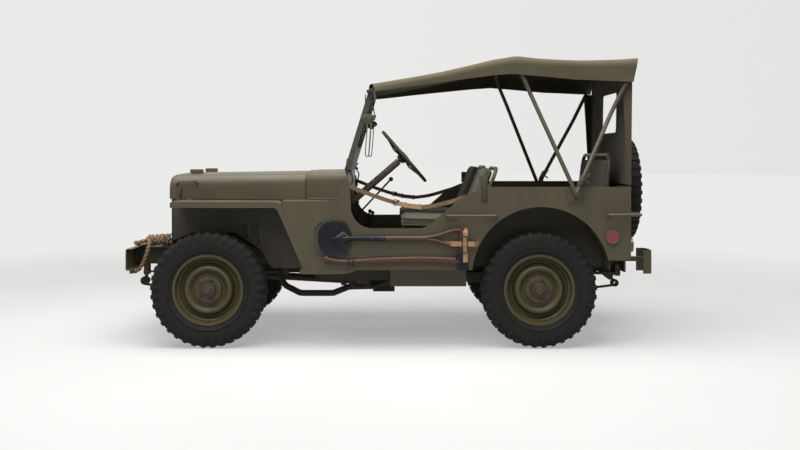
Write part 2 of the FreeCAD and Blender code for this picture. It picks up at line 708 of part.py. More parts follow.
def cowl():
    """Cowl top flaring out to the body sides, with the firewall, shoulders and dash."""
    steel = S.sheet_steel
    front, back, knee = at(S.cowl_front), at(S.cowl_back), at(S.fender_knee) + 12
    half, wall_half, dash_half = S.body_half - steel, S.hood_half_back, S.body_half - 22
    top = loft("cowl_top", [
        rounded_wire(arch_rows(wall_half, S.shoulder_top - steel, S.hood_top_back + 2, 60.0, steel), across(front)),
        rounded_wire(arch_rows(dash_half, S.shoulder_top - steel, S.cowl_top, 60.0, steel), across(back))])
    wall = slab("firewall", "YZ", front, front + steel,
                [(-half, S.firewall_low), (half, S.firewall_low), (half, S.shoulder_top),
                 (wall_half - 1, S.shoulder_top), (wall_half - 1, S.hood_top_back + 1, 59),
                 (1 - wall_half, S.hood_top_back + 1, 59), (1 - wall_half, S.shoulder_top),
                 (-half, S.shoulder_top)])
    # the flat shoulder beside the bonnet and the cowl, from the fender's knee to the dash
    shoulders = []
    for side in (-1, 1):
        rows = [(knee, S.apron_half_back + 6), (front, wall_half + 2), (front, wall_half - 1),
                (back - 60, dash_half - 38), (back - 60, half), (knee, half)]
        shoulders.append(slab("shoulder", "XY", S.shoulder_top - steel, S.shoulder_top,
                              [(x, side * y) for x, y in rows]))
    dash = slab("dash", "YZ", back - steel, back,
                [(1 - dash_half, 930), (dash_half - 1, 930), (dash_half - 1, S.cowl_top - 1, 59),
                 (1 - dash_half, S.cowl_top - 1, 59)])
    barrel = rod("hood_hinge", (front - S.hood_gap / 2, -60, S.hood_top_back + 3), "Y", 120, S.hinge_radius)
    return cut("cowl", fuse("cowl_parts", [top, wall, dash, barrel] + shoulders), column_hole("wall_hole"))


def fender(side):
    """Flat-topped front fender with a turned-down lip, its sloping tail and the inner apron."""
    steel, lip = S.sheet_steel, S.fender_lip
    top, front, knee, tail = S.fender_top, at(S.fender_front), at(S.fender_knee), at(S.fender_tail)
    low = S.sill_low
    edge = [(front, top - lip, 10), (front, top, 14), (knee, top, 60), (tail, low), (tail - lip - 4, low),
            (knee - 22, top - lip, 40)]
    outer = side_slab("lip", side, S.body_half - steel, S.body_half, edge)
    sheet_rows = [(front, top - lip), (front, top, 14), (knee, top, 60), (tail, low),
                  (tail - steel - 1, low), (knee - 3, top - steel, 58), (front + steel, top - steel, 11),
                  (front + steel, top - lip)]
    top_sheet = side_slab("top", side, S.apron_half_front, S.body_half - 1, sheet_rows)
    apron_line = [(at(S.hood_front + 20), S.apron_half_front), (at(S.cowl_front) - S.apron_gap, S.apron_half_back)]
    trim_rows = [(front - 5, side * (S.apron_half_front - 20)), (at(S.hood_front + 20), side * apron_line[0][1]),
                 (at(S.cowl_front) - S.apron_gap, side * apron_line[1][1]), (tail + 20, side * apron_line[1][1]),
                 (tail + 20, side * (S.apron_half_front - 20))]
    trim = slab("trim", "XY", low - 10, top + 10, trim_rows)
    skin = cut("fender_skin", fuse("fender_outer", [outer, top_sheet]), trim)
    (apron_front, half_front), (apron_back, half_back) = apron_line
    wall = slab("apron", "XY", low - 15, S.hood_low - S.hood_gap,
                [(apron_front, side * half_front), (apron_back, side * half_back),
                 (apron_back, side * (half_back + steel)), (apron_front, side * (half_front + steel))])
    # the apron's lower edge rises over the turned wheel
    edge_rows = [(apron_front, S.apron_low), (at(-140), 692), (at(140), 692, 60), (at(300), 592),
                 (at(372), low - 10, 30), (apron_back, low - 10), (apron_back, top + 20), (apron_front, top + 20)]
    keep = side_slab("apron_edge", side, half_front - 20, half_back + 20, edge_rows)
    apron = doc.addObject("Part::Common", "apron_cut")
    apron.Base = wall
    apron.Tool = keep
    # the foot step that runs back under the body side from the fender's tail
    gap = S.fender_gap
    step = side_slab("step", side, S.body_half - 62, S.body_half + 4,
                     [(tail - 62, low - S.step_deep, 8), (tail - 62, low + 4), (tail - 4, low + 4), (tail - 1, low - gap),
                      (tail + S.step_long, low - gap), (tail + S.step_long, low - 9, 5),
                      (tail + S.step_long - 70, low - S.step_deep, 60)])
    return fuse("fender", [skin, apron, step])


def hood_section(x, half, low, top, radius, thick):
    return rounded_wire(arch_rows(half, low, top, radius, thick, 6.0), across(x))


def hood():
    """Bonnet of one bent sheet, narrower at the nose, with the front edge turned down."""
    steel = S.sheet_steel
    nose, back = at(S.hood_front + 52), at(S.cowl_front) - S.hood_gap
    front_lip = at(S.hood_front)
    first = hood_section(front_lip, S.hood_half_front - 6, S.hood_low, S.hood_top_front - 40, 60.0, steel)
    second = hood_section(nose, S.hood_half_front, S.hood_low, S.hood_top_front - 6, 70.0, steel)
    third = hood_section(back, S.hood_half_back, S.hood_low, S.hood_top_back - 6, 62.0, steel)
    shell = loft("hood_shell", [first, second, third])
    half, top = S.hood_half_front - 7, S.hood_top_front - 41
    face = slab("face", "YZ", front_lip, front_lip + steel,
                [(-half, S.grille_top - 30), (half, S.grille_top - 30), (half, top, 59), (0, top + 6, 4000),
                 (-half, top, 59)])
    return fuse("hood", [shell, face])


def hood_blocks():
    """Two wood blocks on the bonnet that carry the folded windscreen."""
    high = S.hood_top_front - 1.2
    blocks = [box("block", (at(-178), at(-102)), (side * 280 - 32, side * 280 + 32), (high, high + 27))
              for side in (-1, 1)]
    return group("hood_blocks", blocks)


def grille():
    """Pressed front panel with nine slots and two lamp openings, under the bonnet's lip."""
    front, steel, half = at(S.hood_front) + 10, S.sheet_steel, S.grille_half
    low, top = S.rail_high + S.rail_height + 0.3, S.grille_top
    plate = slab("panel", "YZ", front, front + steel,
                 [(12 - half, low, 40), (half - 12, low, 40), (half - 5, top, 40), (5 - half, top, 40)])
    slots = [slab("slot", "YZ", front - 10, front + 20,
                  [(y - 14, 700, 13), (y + 14, 700, 13), (y + 14, 965, 13), (y - 14, 965, 13)])
             for y in range(-200, 201, 50)]
    lamps = [rod("lamp_hole", (front - 10, side * 322, 870), "X", 30, 78) for side in (-1, 1)]
    return cut("grille", plate, fuse("grille_holes", slots + lamps))


def headlamps():
    front = at(S.hood_front) + 10 + S.sheet_steel
    lamps = [turned("lamp", [(0, 0), (0, 88), (14, 88), (30, 74, 20), (84, 30, 30), (92, 0)],
                    (front + 0.3, side * 322, 870), "X") for side in (-1, 1)]
    return group("headlamps", lamps)


def radiator():
    front = at(S.hood_front) + 110
    seat, reach = S.rail_high + S.rail_height, S.rail_half - 20
    return fuse("radiator", [box("core", (front, front + 62), (-265, 265), (560, 960)),
                             box("mount", (front, front + 62), (-reach, reach), (seat, seat + 14)),
                             box("tank", (front - 6, front + 72), (-245, 245), (955, 1000)),
                             rod("filler", (front + 33, 0, 995), "Z", 28, 30)])


def power_unit():
    """Engine as one plain block with its sump, and the gearbox and transfer case behind it."""
    under = FLOOR_TOP - S.sheet_steel - 7
    return fuse("power_unit", [box("engine", (at(-40), at(520)), (-170, 170), (500, 900)),
                               box("sump", (at(130), at(515)), (-105, 105), (400, 505)),
                               box("bell", (at(510), at(585)), (-130, 130), (400, 660)),
                               box("gearbox", (at(580), at(1010)), (-85, 85), (S.rail_low + 5.3, under)),
                               box("transfer", (at(1005), at(1150)), (-85, 250), (270, under))])


def propeller_shafts():
    """Front and rear shafts from the transfer case to the axle housings."""
    side, high, low = S.diff_side, S.tyre_radius, 305
    return group("propeller_shafts",
                 [tube("front_shaft", [(at(96), side, high), (at(550), side, (high + low) / 2 - 0.01),
                                       (at(1002), side, low)], S.shaft_radius, 5000),
                  tube("rear_shaft", [(at(1153), side, low), (at(1540), side, (high + low) / 2 + 0.01),
                                      (at(S.wheel_base - 96), side, high)], S.shaft_radius, 5000)])


def exhaust():
    """Pipe down from the engine and back inside the left rail to a silencer and a short tail."""
    side, high, deep = -200, S.rail_low + 15, 50
    inlet = high - deep + 23
    pipe = tube("pipe", [(at(300), -170.3, 700), (at(300), -215, 700), (at(320), -262, 600), (at(430), -275, 338),
                         (at(535), -280, 286), (at(750), -280, 286), (at(850), -270, 326), (at(1010), -240, 326),
                         (at(1150), side, inlet), (at(1300), side, inlet)], 20, 70)
    can = rod("silencer", (at(1290), side, high), "X", 290, deep)
    tail = tube("tail", [(at(1570), side, inlet), (at(1680), side, inlet - 1), (at(1760), side - 15, inlet - 6)],
                18, 200)
    return fuse("exhaust", [pipe, can, tail])


# ---------------------------------------------------------------- windscreen

def screen_foot_top():
    return S.cowl_top + S.screen_rise


def screen_lean():
    return math.degrees(math.atan2(S.screen_head - S.screen_foot, S.screen_top - screen_foot_top()))


def screen_slab(name, near, far, rows):
    """A flat piece in the leaning windscreen plane; heights are measured up its slope."""
    body = slab(name, "YZ", near, far, rows)
    body.Placement = FreeCAD.Placement(V(), FreeCAD.Rotation(V(0, 1, 0), screen_lean()))
    return place(body, (at(S.screen_foot), 0, screen_foot_top()))


def windscreen_length():
    return math.hypot(S.screen_head - S.screen_foot, S.screen_top - screen_foot_top())


def pane_rows(side, gap):
    """Outline of one pane's opening, in the leaning plane, drawn in by a gap."""
    near, far = S.screen_bar / 2 + gap, S.screen_half - S.screen_bar - gap
    low, high = S.screen_panel + gap, windscreen_length() - S.screen_bar - gap
    return [(side * near, low, 20), (side * far, low, 20), (side * (far - 10), high, 20), (side * near, high, 20)]


def windscreen_frame():
    """Two-pane frame leaning back, with a plain steel panel below the panes."""
    lean = screen_lean()
    foot = (S.cowl_top + 0.3 + S.screen_depth / 2 * sin(lean) - screen_foot_top()) / cos(lean)
    whole = screen_slab("sash", -S.screen_depth / 2, S.screen_depth / 2,
                        [(-S.screen_half, foot, 25), (S.screen_half, foot, 25),
                         (S.screen_half - 14, windscreen_length(), 45), (14 - S.screen_half, windscreen_length(), 45)])
    openings = [screen_slab("opening", -40, 40, pane_rows(side, 0)) for side in (-1, 1)]
    return cut("windscreen_frame", whole, fuse("screen_openings", openings))


def windscreen_glass():
    half = S.glass_steel / 2
    return group("windscreen_glass", [screen_slab("pane", -half, half, pane_rows(side, 0.3)) for side in (-1, 1)])


# ---------------------------------------------------------------- cabin

def seat_cushion(name, middle):
    """Squab and leaning back rest of one front seat."""
    half = S.seat_width / 2
    low, high = middle - half, middle + half
    front, back, top = at(S.seat_front), at(S.seat_back), S.seat_top
    squab_rows = [(front, top - S.cushion_deep, 25), (front, top, 30), (back - 30, top - 12, 20),
                  (back - 30, top - 12 - S.cushion_deep, 20)]
    squab = slab(name, "XZ", low, high, squab_rows)
    rest_rows = [(back - 8, top + 16, 20), (back + 107, top + 312, 25), (back + 166.6, top + 290, 25),
                 (back + 46.6, top - 6, 20)]
    rest = slab(name, "XZ", low, high, rest_rows)
    return [squab, rest]


def seat_cushions():
    """Soft squabs and back rests of the two front seats and the rear bench."""
    parts = seat_cushion("driver", S.seat_driver) + seat_cushion("mate", S.seat_mate)
    bench_front = at(2010)
    parts.append(box("bench_squab", (bench_front, bench_front + 400), (-430, 430), (720, 790)))
    parts.append(slab("bench_back", "XZ", -424, 424,
                      [(at(2462), 830, 20), (at(2496), 1165, 20), (at(2540), 1160, 20), (at(2512), 824, 20)]))
    return group("seat_cushions", parts)


def seat_frame(middle):
    """Bent tube frame of one front seat: legs, squab ring and back hoop."""
    half = S.seat_width / 2 - S.frame_tube
    front, back, top = at(S.seat_front), at(S.seat_back), S.seat_top
    under = top - S.cushion_deep - S.frame_tube - 0.8
    low = FLOOR_TOP
    parts = []
    for side in (-1, 1):
        y = middle + side * half
        parts.append(tube("seat_leg", [(front + 24, y, low), (front + 24, y, under), (back - 12, y, under - 14),
                                       (back - 12, y, low)], S.frame_tube, 50))
    for x, z in ((front + 60, under - 2), (back - 60, under - 12)):
        parts.append(rod("seat_bar", (x, middle - half, z), "Y", half * 2, S.frame_tube))
    hoop_low, hoop_high = (back - 9, under - 90), (back + 180, top + 290)
    parts.append(tube("seat_hoop", [(hoop_low[0], middle - half, hoop_low[1]),
                                    (hoop_high[0], middle - half, hoop_high[1]),
                                    (hoop_high[0], middle + half, hoop_high[1]),
                                    (hoop_low[0], middle + half, hoop_low[1])], S.frame_tube, 70))
    return parts


def seat_frames():
    driver = fuse("driver_frame", seat_frame(S.seat_driver))
    mate = fuse("mate_frame", seat_frame(S.seat_mate))
    bench = []
    half, under = 440, 720 - S.frame_tube - 0.5
    bench.append(tube("bench_ring", [(at(2440), -half, under), (at(2030), -half, under), (at(2030), half, under),
                                     (at(2440), half, under)], S.frame_tube, 60))
    bench.append(tube("bench_hoop", [(at(2440), -half, under), (at(2475), -half - 0.01, 800),
                                     (at(2520), -half, 1185), (at(2520), half, 1185),
                                     (at(2475), half, 800), (at(2440), half, under)], S.frame_tube, 80))
    bench.append(rod("bench_cross", (at(2440), -half, under), "Y", 2 * half, S.frame_tube))
    for side in (-1, 1):
        bench.append(rod("bench_leg", (at(2060), side * (half - 20), BED_TOP), "Z",
                         under - BED_TOP, S.frame_tube))
        low, high = sorted((side * (half - 4), side * (S.house_half - S.sheet_steel)))
        bench.append(box("bench_hook", (at(2400), at(2430)), (low, high), (under - 14, under + 10)))
    return group("seat_frames", [driver, mate, fuse("bench_frame", bench)])


def column_spot(along):
    """A point on the steering column's line, measured down from the wheel's hub."""
    return (at(S.column_station) - along * cos(S.column_angle), S.column_side,
            S.column_high - along * sin(S.column_angle))


def leaned(thing, along):
    """Stands a piece made along +Z on the column's line."""
    thing.Placement = FreeCAD.Placement(V(), FreeCAD.Rotation(V(0, 1, 0), 90.0 - S.column_angle))
    return place(thing, column_spot(along))


def steering_column():
    """Jacket tube from the steering box to just under the wheel, with its dash clamp."""
    long = S.column_long
    jacket = leaned(rod("jacket", (0, 0, 0), "Z", long - 47, S.column_radius), long)
    clamp = leaned(rod("clamp", (0, 0, 0), "Z", 46, S.column_radius + 12), 455)
    side = S.column_side
    seat = S.rail_high + S.rail_height
    gearbox = box("steering_box", (at(495), at(588)), (side - 40, side + 40), (seat, seat + S.box_height))
    bracket = box("bracket", (at(S.cowl_back) + 0.3, at(S.cowl_back + 20)), (side - 20, side + 20), (880, 965))
    return fuse("steering_column", [jacket, clamp, gearbox, bracket])


def steering_wheel():
    """Thin round rim, hub with a cap, and three dished spokes."""
    radius, grip = S.wheel_rim_radius, S.wheel_rim_tube
    rim = doc.addObject("Part::Torus", "rim")
    bind(rim, "Radius1", radius)
    bind(rim, "Radius2", grip)
    hub = rod("hub", (0, 0, -35), "Z", 50, 30)
    spokes = []
    for turn in (90, 210, 330):
        spoke = tube("spoke", [(0, 0, -8), (radius * 0.4, 0, -22), (radius - 2, 0, 0)], 6, 60)
        spoke.Placement = FreeCAD.Placement(V(), FreeCAD.Rotation(V(0, 0, 1), turn))
        spokes.append(spoke)
    post = rod("post", (0, 0, S.hub_gap - 47), "Z", 16, 12)
    return leaned(fuse("steering_wheel", [rim, hub, post] + spokes), 0)


def toe_spot(along, lift):
    """A point over the toe board: distance behind its top edge, and height square to its face."""
    run, drop = 162.0, S.firewall_low + 4 - FLOOR_TOP
    slope = math.hypot(run, drop)
    return (at(600 + along) + lift * drop / slope, S.firewall_low + 4 - drop * (along / run) + lift * (run / slope))


def levers_and_pedals():
    """Gear lever, two transfer levers and a hand brake on the tunnel; three pedals at the toe board."""
    parts = []
    low = FLOOR_TOP
    parts.append(box("tunnel", (at(800), at(1060)), (-110, 160), (low, low + 70)))
    # station of the foot, side, lean to the rear, height and radius of the knob
    levers = [(860, -10, 266, 1022, 15), (938, 70, 44, 801, 13), (956, 110, 44, 788, 13)]
    for station, side, lean, high, knob in levers:
        parts.append(tube("lever", [(at(station), side, low + 60), (at(station + lean * 0.17), side, (low + 60 + high) / 2),
                                    (at(station + lean), side, high)], 6, 60))
        ball = doc.addObject("Part::Sphere", "knob")
        ball.Radius = knob
        parts.append(place(ball, (at(station + lean), side, high)))
    controls = fuse("controls", parts)
    pedals = []
    for side, wide in ((-440, 60), (-300, 60), (-215, 40)):
        foot, knee = toe_spot(106, 0.3), toe_spot(106, 44)
        stem = tube("stem", [(foot[0], side, foot[1]), (knee[0], side, knee[1]), (at(790), side, 655)], 8, 60)
        pad = box("pad", (at(784), at(796)), (side - wide / 2, side + wide / 2), (610, 700))
        pedals.append(fuse("pedal", [stem, pad]))
    return group("levers_and_pedals", [controls] + pedals)


# ---------------------------------------------------------------- canopy

def canopy_half():
    return S.body_half - S.canopy_inset


def roof_stations():
    """Station, top and lower edge of the canopy; the cloth dips between the bows."""
    middle = (S.roof_front + S.roof_bow) * 0.5
    return [(S.canopy_front, S.roof_front, S.roof_front - S.front_fall),
            (1440, middle, middle - (S.front_fall + S.bow_fall) * 0.5),
            (S.bow_front_top - 5, S.roof_bow, S.roof_bow - S.bow_fall),
            (2290, S.roof_back - 2, S.roof_back - 2 - (S.bow_fall + S.roof_fall) * 0.5),
            (S.canopy_back, S.roof_back, S.roof_back - S.roof_fall)]


def canopy_top():
    """Roof cloth with its side falls, stretched from the windscreen over both bows."""
    sections = [rounded_wire(arch_rows(canopy_half(), low, top - S.roof_crown, float(S.roof_round), S.canopy_cloth,
                                       float(S.roof_crown)),
                             across(at(station))) for station, top, low in roof_stations()]
    made = doc.addObject("Part::Feature", "canopy_top")
    made.Shape = Part.makeLoft(sections, True, True)
    return made


def canopy_curtains():
    """Rear curtain with its open window, hung inside the rear bow, and a narrow return strip each side."""
    cloth, half = S.canopy_cloth, canopy_half() - S.bow_inset - S.bow_tube - S.cloth_gap
    low = S.rail_top + 8
    top = S.roof_back - S.roof_crown - S.canopy_cloth - 0.3
    lean = math.degrees(math.atan2(S.canopy_back - 30 - S.curtain_foot, top - low))
    tall = (top - low) / cos(lean)
    rear = slab("rear_curtain", "YZ", -cloth, 0, [(-half, 0), (half, 0), (half, tall), (-half, tall)])
    window = slab("rear_window", "YZ", -20, 20, [(-215, 332, 30), (215, 332, 30), (215, 602, 30),
                                                 (-215, 602, 30)])
    sides = [side_slab("quarter", side, half - cloth, half,
                       [(-1, 0), (-1, 632), (-57, 632), (-22, 0)]) for side in (-1, 1)]
    made = fuse("canopy_curtains", [cut("curtain_sheet", rear, window)] + sides)
    made.Placement = FreeCAD.Placement(V(), FreeCAD.Rotation(V(0, 1, 0), lean))
    return place(made, (at(S.curtain_foot), 0, low))


def canopy_bows():
    """Two U-shaped tube bows that share a pivot bracket on each body side."""
    half = canopy_half() - S.bow_inset
    pivot_x, pivot_z = at(S.bow_pivot), S.bow_pivot_high
    outer = S.body_half + 38
    seat = S.canopy_cloth + S.bow_tube + 9.2
    parts = []
    # station and height of the shoulder, of the top bar, height where the leg is fully inside, leg shift
    for shoulder, shoulder_high, top, top_high, inside_high, shift in (
            (S.bow_front_top + 38, S.roof_bow - S.bow_fall - 10, S.bow_front_top, S.roof_bow - seat, 1560, -15),
            (S.bow_rear_top - 22, S.roof_back - S.roof_fall + 4, S.bow_rear_top, S.roof_back - seat, 1440, 15)):
        leg = outer + shift
        share = (inside_high - pivot_z) / (shoulder_high - pivot_z)
        inside_x = pivot_x + (at(shoulder) - pivot_x) * share
        side_rows = [(pivot_x, leg, pivot_z), (inside_x, half, inside_high), (at(shoulder), half, shoulder_high),
                     (at(top), half - 42, top_high)]
        far_side = [(x, -y, z) for x, y, z in side_rows]
        parts.append(tube("bow", far_side + side_rows[::-1], S.bow_tube, 90))
    for side in (-1, 1):
        near, far = sorted((side * (S.body_half + 0), side * (S.body_half + 6)))
        parts.append(box("plate", (pivot_x - 45, pivot_x + 45), (near, far), (pivot_z - 60, pivot_z + 30)))
        near, far = sorted((side * (S.body_half + 0), side * (S.body_half + 57)))
        parts.append(rod("pivot", (pivot_x, near, pivot_z), "Y", far - near, 18))
    return fuse("canopy_bows", parts)


# ---------------------------------------------------------------- spare wheel

def spare_centre():
    return (at(S.body_back + S.spare_gap), S.spare_side, S.spare_high)


def stood_up(body):
    """Turns a wheel made about the Y axis so that its outer face looks to the rear."""
    body.Placement = FreeCAD.Placement(V(), FreeCAD.Rotation(V(0, 0, 1), -90))
    return place(body, spare_centre())


def spare_wheel():
    return stood_up(wheel_disc("spare_wheel", 1, (0, 0, 0)))


def spare_tyre():
    return stood_up(tyre("spare_tyre", tyre_form(), (0, 0, 0)))


def spare_carrier():
    """Plate and stub on the rear panel that the spare wheel is bolted to."""
    x, y, z = spare_centre()
    panel = at(S.body_back)
    plate = box("plate", (panel, panel + 8), (y - 110, y + 110), (z - 200, z + 30))
    stub = rod("stub", (panel, y, z), "X", x - 2 - S.hub_gap - panel, 40)
    return fuse("spare_carrier", [plate, stub])


# ---------------------------------------------------------------- tools and trim

def shovel():
    """Round-point shovel held flat on the left side: dished blade, socket, shaft and D grip."""
    y, middle = -S.body_half - S.tool_stand, 680
    blade = slab("blade", "XZ", y - 2, y + 2,
                 [(at(676), middle, 70), (at(745), middle + 104, 50), (at(832), middle + 100, 20),
                  (at(884), middle + 18, 12), (at(884), middle - 18, 12), (at(832), middle - 96, 20),
                  (at(745), middle - 99, 50)])
    socket = rod("socket", (at(800), y, middle), "X", 290, 17)
    shaft = rod("shaft", (at(1085), y, middle), "X", 252, 16)
    bar = rod("grip_bar", (at(1552), y, middle - 62), "Z", 120, 13)
    arms = [tube("grip_arm", [(at(1325), y, middle), (at(1410), y, middle + way * 14),
                              (at(1480), y, middle + way * 50), (at(1552), y, middle + way * 50)], 11, 60)
            for way in (-1, 1)]
    return fuse("shovel", [blade, socket, shaft, bar] + arms)


def axe():
    """Felling axe: curved handle and steel head."""
    y = -S.body_half - S.tool_stand
    handle = tube("handle", [(at(726), y, 566), (at(860), y, 552), (at(1180), y, 556), (at(1540), y, 561)], 15, 400)
    head_rows = [(at(1506), 590, 8), (at(1566), 594, 8), (at(1560), 540), (at(1572), 496), (at(1500), 494),
                 (at(1512), 540)]
    head = slab("head", "XZ", y - 17, y + 17, head_rows)
    return fuse("axe", [handle, head])


def tool_straps():
    """Leather straps and clamps that hold the tools on the left side."""
    y, skin = -S.body_half - S.tool_stand - 18.8, -S.body_half - 0.3
    station, low, high = 1590, 500, 742
    upright = strip("strap", [(at(station), skin - 1.5, low), (at(station), y, low + 30),
                              (at(station), y, high - 30), (at(station), skin - 1.5, high)], (1, 0, 0), 32, 3, 20)
    level, over = 661, y - 3.4
    cross = strip("cross_strap", [(at(1474), skin - 1.5, level), (at(1497), over, level), (at(1630), over, level),
                                  (at(1652), skin - 1.5, level)], (0, 0, 1), 26, 3, 12)
    # a bent steel guard on the panel round the front of the shovel's blade
    guard = slab("blade_guard", "XZ", skin - 9, skin,
                 [(at(706), 786), (at(652), 740, 60), (at(652), 622, 60), (at(706), 574), (at(710), 580),
                  (at(659), 625, 54), (at(659), 737, 54), (at(710), 780)])
    return group("tool_straps", [upright, cross, guard])


def door_straps():
    """Webbing safety straps across the two door openings, each hanging in a shallow curve."""
    straps = []
    for side in (-1, 1):
        y = side * (S.body_half - S.sheet_steel - 1.8)
        straps.append(strip("door_strap", [(at(853), y, 1002), (at(950), y, 962), (at(1080), y, 918),
                                           (at(1210), y, 886), (at(1320), y, 869), (at(1440), y, 882),
                                           (at(1560), y, 915), (at(1680), y, 955)], (0, 0, 1), 32, 3, 200))
    return group("door_straps", straps)


def grab_handles():
    """Round bar handles on the body sides and round the rear corners."""
    out = S.body_half
    parts = []
    for side in (-1, 1):
        parts.append(tube("side_handle", [(at(1460), side * (out + 0.3), 816), (at(1460), side * (out + 38), 816),
                                          (at(1761), side * (out + 38), 816),
                                          (at(1761), side * (out + 0.3), 816)], 8, 20))
        back = at(S.body_back)
        parts.append(tube("corner_handle", [(at(2442), side * (out + 0.3), 822), (at(2442), side * (out + 38), 822),
                                            (back + 60, side * (out + 36), 822),
                                            (back + 60, side * (out - 130), 822),
                                            (back + 0.3, side * (out - 130), 822)], 9, 40))
    return group("grab_handles", parts)


def marker_lamps():
    """Round reflectors on the rear corners and tail lamps on the rear panel."""
    parts = []
    for side in (-1, 1):
        near, far = sorted((side * (S.body_half + 0.3), side * (S.body_half + 12)))
        parts.append(rod("reflector", (at(2467), near, 689), "Y", far - near, 40))
        parts.append(rod("tail_lamp", (at(S.body_back) + 0.3, side * 560, 622), "X", 48, 42))
    return group("marker_lamps", parts)


def rope_hank():
    """A hank of manila rope on the bumper's left end: the outer shape of its turns."""
    low = S.bumper_low + S.bumper_height + 0.3
    rows = [(at(-512), low, 20), (at(-520), low + 34, 25), (at(-470), low + 66, 40), (at(-340), low + 62, 40),
            (at(-296), low + 22, 20), (at(-310), low, 12)]
    return slab("rope_hank", "XZ", -S.rail_half - 69, -S.rail_half + 121, rows)


# ---------------------------------------------------------------- write out

def build():
    node("frame", frame())
    node("front_bumper", front_bumper())
    node("rear_bumperettes", rear_bumperettes())
    node("tow_pintle", tow_pintle())
    node("front_axle", front_axle())
    node("rear_axle", rear_axle())
    node("leaf_springs", leaf_springs())
    node("tie_rod", tie_rod())
    form = tyre_form()
    for side, name in ((-1, "left"), (1, "right")):
        node("knuckle_" + name, knuckle(side))
        for end, station in (("front", 0), ("rear", S.wheel_base)):
            centre = (at(station), side * S.track_half, S.tyre_radius)
            node("wheel_%s_%s" % (end, name), wheel_disc("wheel", side, centre))
            node("tyre_%s_%s" % (end, name), tyre("tyre", form, centre))
        node("side_panel_" + name, side_panel(side))
        node("fender_" + name, fender(side))
    for label, make in (("floor_pan", floor_pan), ("rear_panel", rear_panel), ("wheelhouses", wheelhouses),
                        ("cowl", cowl), ("hood", hood), ("hood_blocks", hood_blocks), ("grille", grille),
                        ("headlamps", headlamps), ("radiator", radiator), ("power_unit", power_unit),
                        ("propeller_shafts", propeller_shafts), ("exhaust", exhaust),
                        ("windscreen_frame", windscreen_frame), ("windscreen_glass", windscreen_glass),
                        ("seat_cushions", seat_cushions), ("seat_frames", seat_frames),
                        ("steering_column", steering_column), ("steering_wheel", steering_wheel),
                        ("levers_and_pedals", levers_and_pedals), ("canopy_top", canopy_top),
                        ("canopy_curtains", canopy_curtains), ("canopy_bows", canopy_bows),
                        ("spare_wheel", spare_wheel), ("spare_tyre", spare_tyre),
                        ("spare_carrier", spare_carrier), ("shovel", shovel), ("axe", axe),
                        ("tool_straps", tool_straps), ("door_straps", door_straps),
                        ("grab_handles", grab_handles), ("marker_lamps", marker_lamps),
                        ("rope_hank", rope_hank)):
        node(label, make())


build()
doc.recompute()
faults = [thing.Label for thing in doc.Objects if {"Invalid", "Error"} & set(thing.State)]
faults += [thing.Label for thing in NODES if thing.Shape.isNull() or not thing.Shape.isValid()]
if faults:
    raise RuntimeError("pieces that failed: " + ", ".join(faults))
os.makedirs("parts", exist_ok=True)
for thing in NODES:
    thing.Shape.exportStep("parts/%s.step" % thing.Label)
    print(thing.Label, len(thing.Shape.Solids), round(thing.Shape.Volume))
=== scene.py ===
"""Looks of an open four-by-four field car: paint, canvas, rubber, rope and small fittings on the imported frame."""
import math

import bmesh
import bpy
from mathutils import Matrix, Vector, noise
from mathutils.bvhtree import BVHTree


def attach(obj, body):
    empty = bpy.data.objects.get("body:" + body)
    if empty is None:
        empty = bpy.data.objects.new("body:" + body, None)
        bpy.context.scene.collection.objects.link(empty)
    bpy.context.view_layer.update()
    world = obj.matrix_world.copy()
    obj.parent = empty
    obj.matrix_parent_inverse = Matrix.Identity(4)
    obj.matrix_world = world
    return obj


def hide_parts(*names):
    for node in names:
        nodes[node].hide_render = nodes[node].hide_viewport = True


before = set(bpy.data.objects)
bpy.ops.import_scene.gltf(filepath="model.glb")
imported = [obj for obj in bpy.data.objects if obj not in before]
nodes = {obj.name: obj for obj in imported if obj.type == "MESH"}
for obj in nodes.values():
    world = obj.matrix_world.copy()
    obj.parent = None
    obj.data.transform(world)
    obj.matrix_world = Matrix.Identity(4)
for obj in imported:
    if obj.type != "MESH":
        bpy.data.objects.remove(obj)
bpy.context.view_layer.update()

FRONT_AXLE = -1.150  # metres along the car; stations are measured to the rear from here

# in millimetres
WHEELBASE, HALF_TRACK, AXLE_HEIGHT = 2032, 622, 357
SPARE_CENTRE = (2724.5, 200, 950)
SKIN = 730.3  # outer face of the body side

UP = Vector((0, 0, 1))
SIDES = ((-1, "left"), (1, "right"))


def spot(station, side, high):
    """A point given in millimetres: station behind the front axle, side, height."""
    return Vector((FRONT_AXLE + station / 1000, side / 1000, high / 1000))


def linked(name, data):
    """A new object in the scene with this data."""
    made = bpy.data.objects.new(name, data)
    bpy.context.scene.collection.objects.link(made)
    return made


# ---------------------------------------------------------------- shader nodes

def put(tree, kind, sockets=None, **settings):
    """Adds a shader node; a socket is given a value or another node's output."""
    made = tree.nodes.new("ShaderNode" + kind)
    for key, value in settings.items():
        setattr(made, key, value)
    for key, value in (sockets or {}).items():
        if isinstance(value, bpy.types.NodeSocket):
            tree.links.new(value, made.inputs[key])
        else:
            made.inputs[key].default_value = value
    return made


def maths(tree, operation, *values, **settings):
    return put(tree, "Math", dict(enumerate(values)), operation=operation, **settings).outputs[0]


def remap(tree, value, start=0.0, end=1.0, low=0.0, high=1.0, **settings):
    """A value moved from the range start to end into the range low to high."""
    ranges = {"Value": value, "From Min": start, "From Max": end, "To Min": low, "To Max": high}
    return put(tree, "MapRange", ranges, **settings).outputs["Result"]


def clouds(tree, vector, scale, detail, roughness=0.5, distortion=0.0):
    """Fractal noise between 0 and 1."""
    return put(tree, "TexNoise", {"Vector": vector, "Scale": scale, "Detail": detail, "Roughness": roughness,
            "Distortion": distortion}).outputs["Fac"]


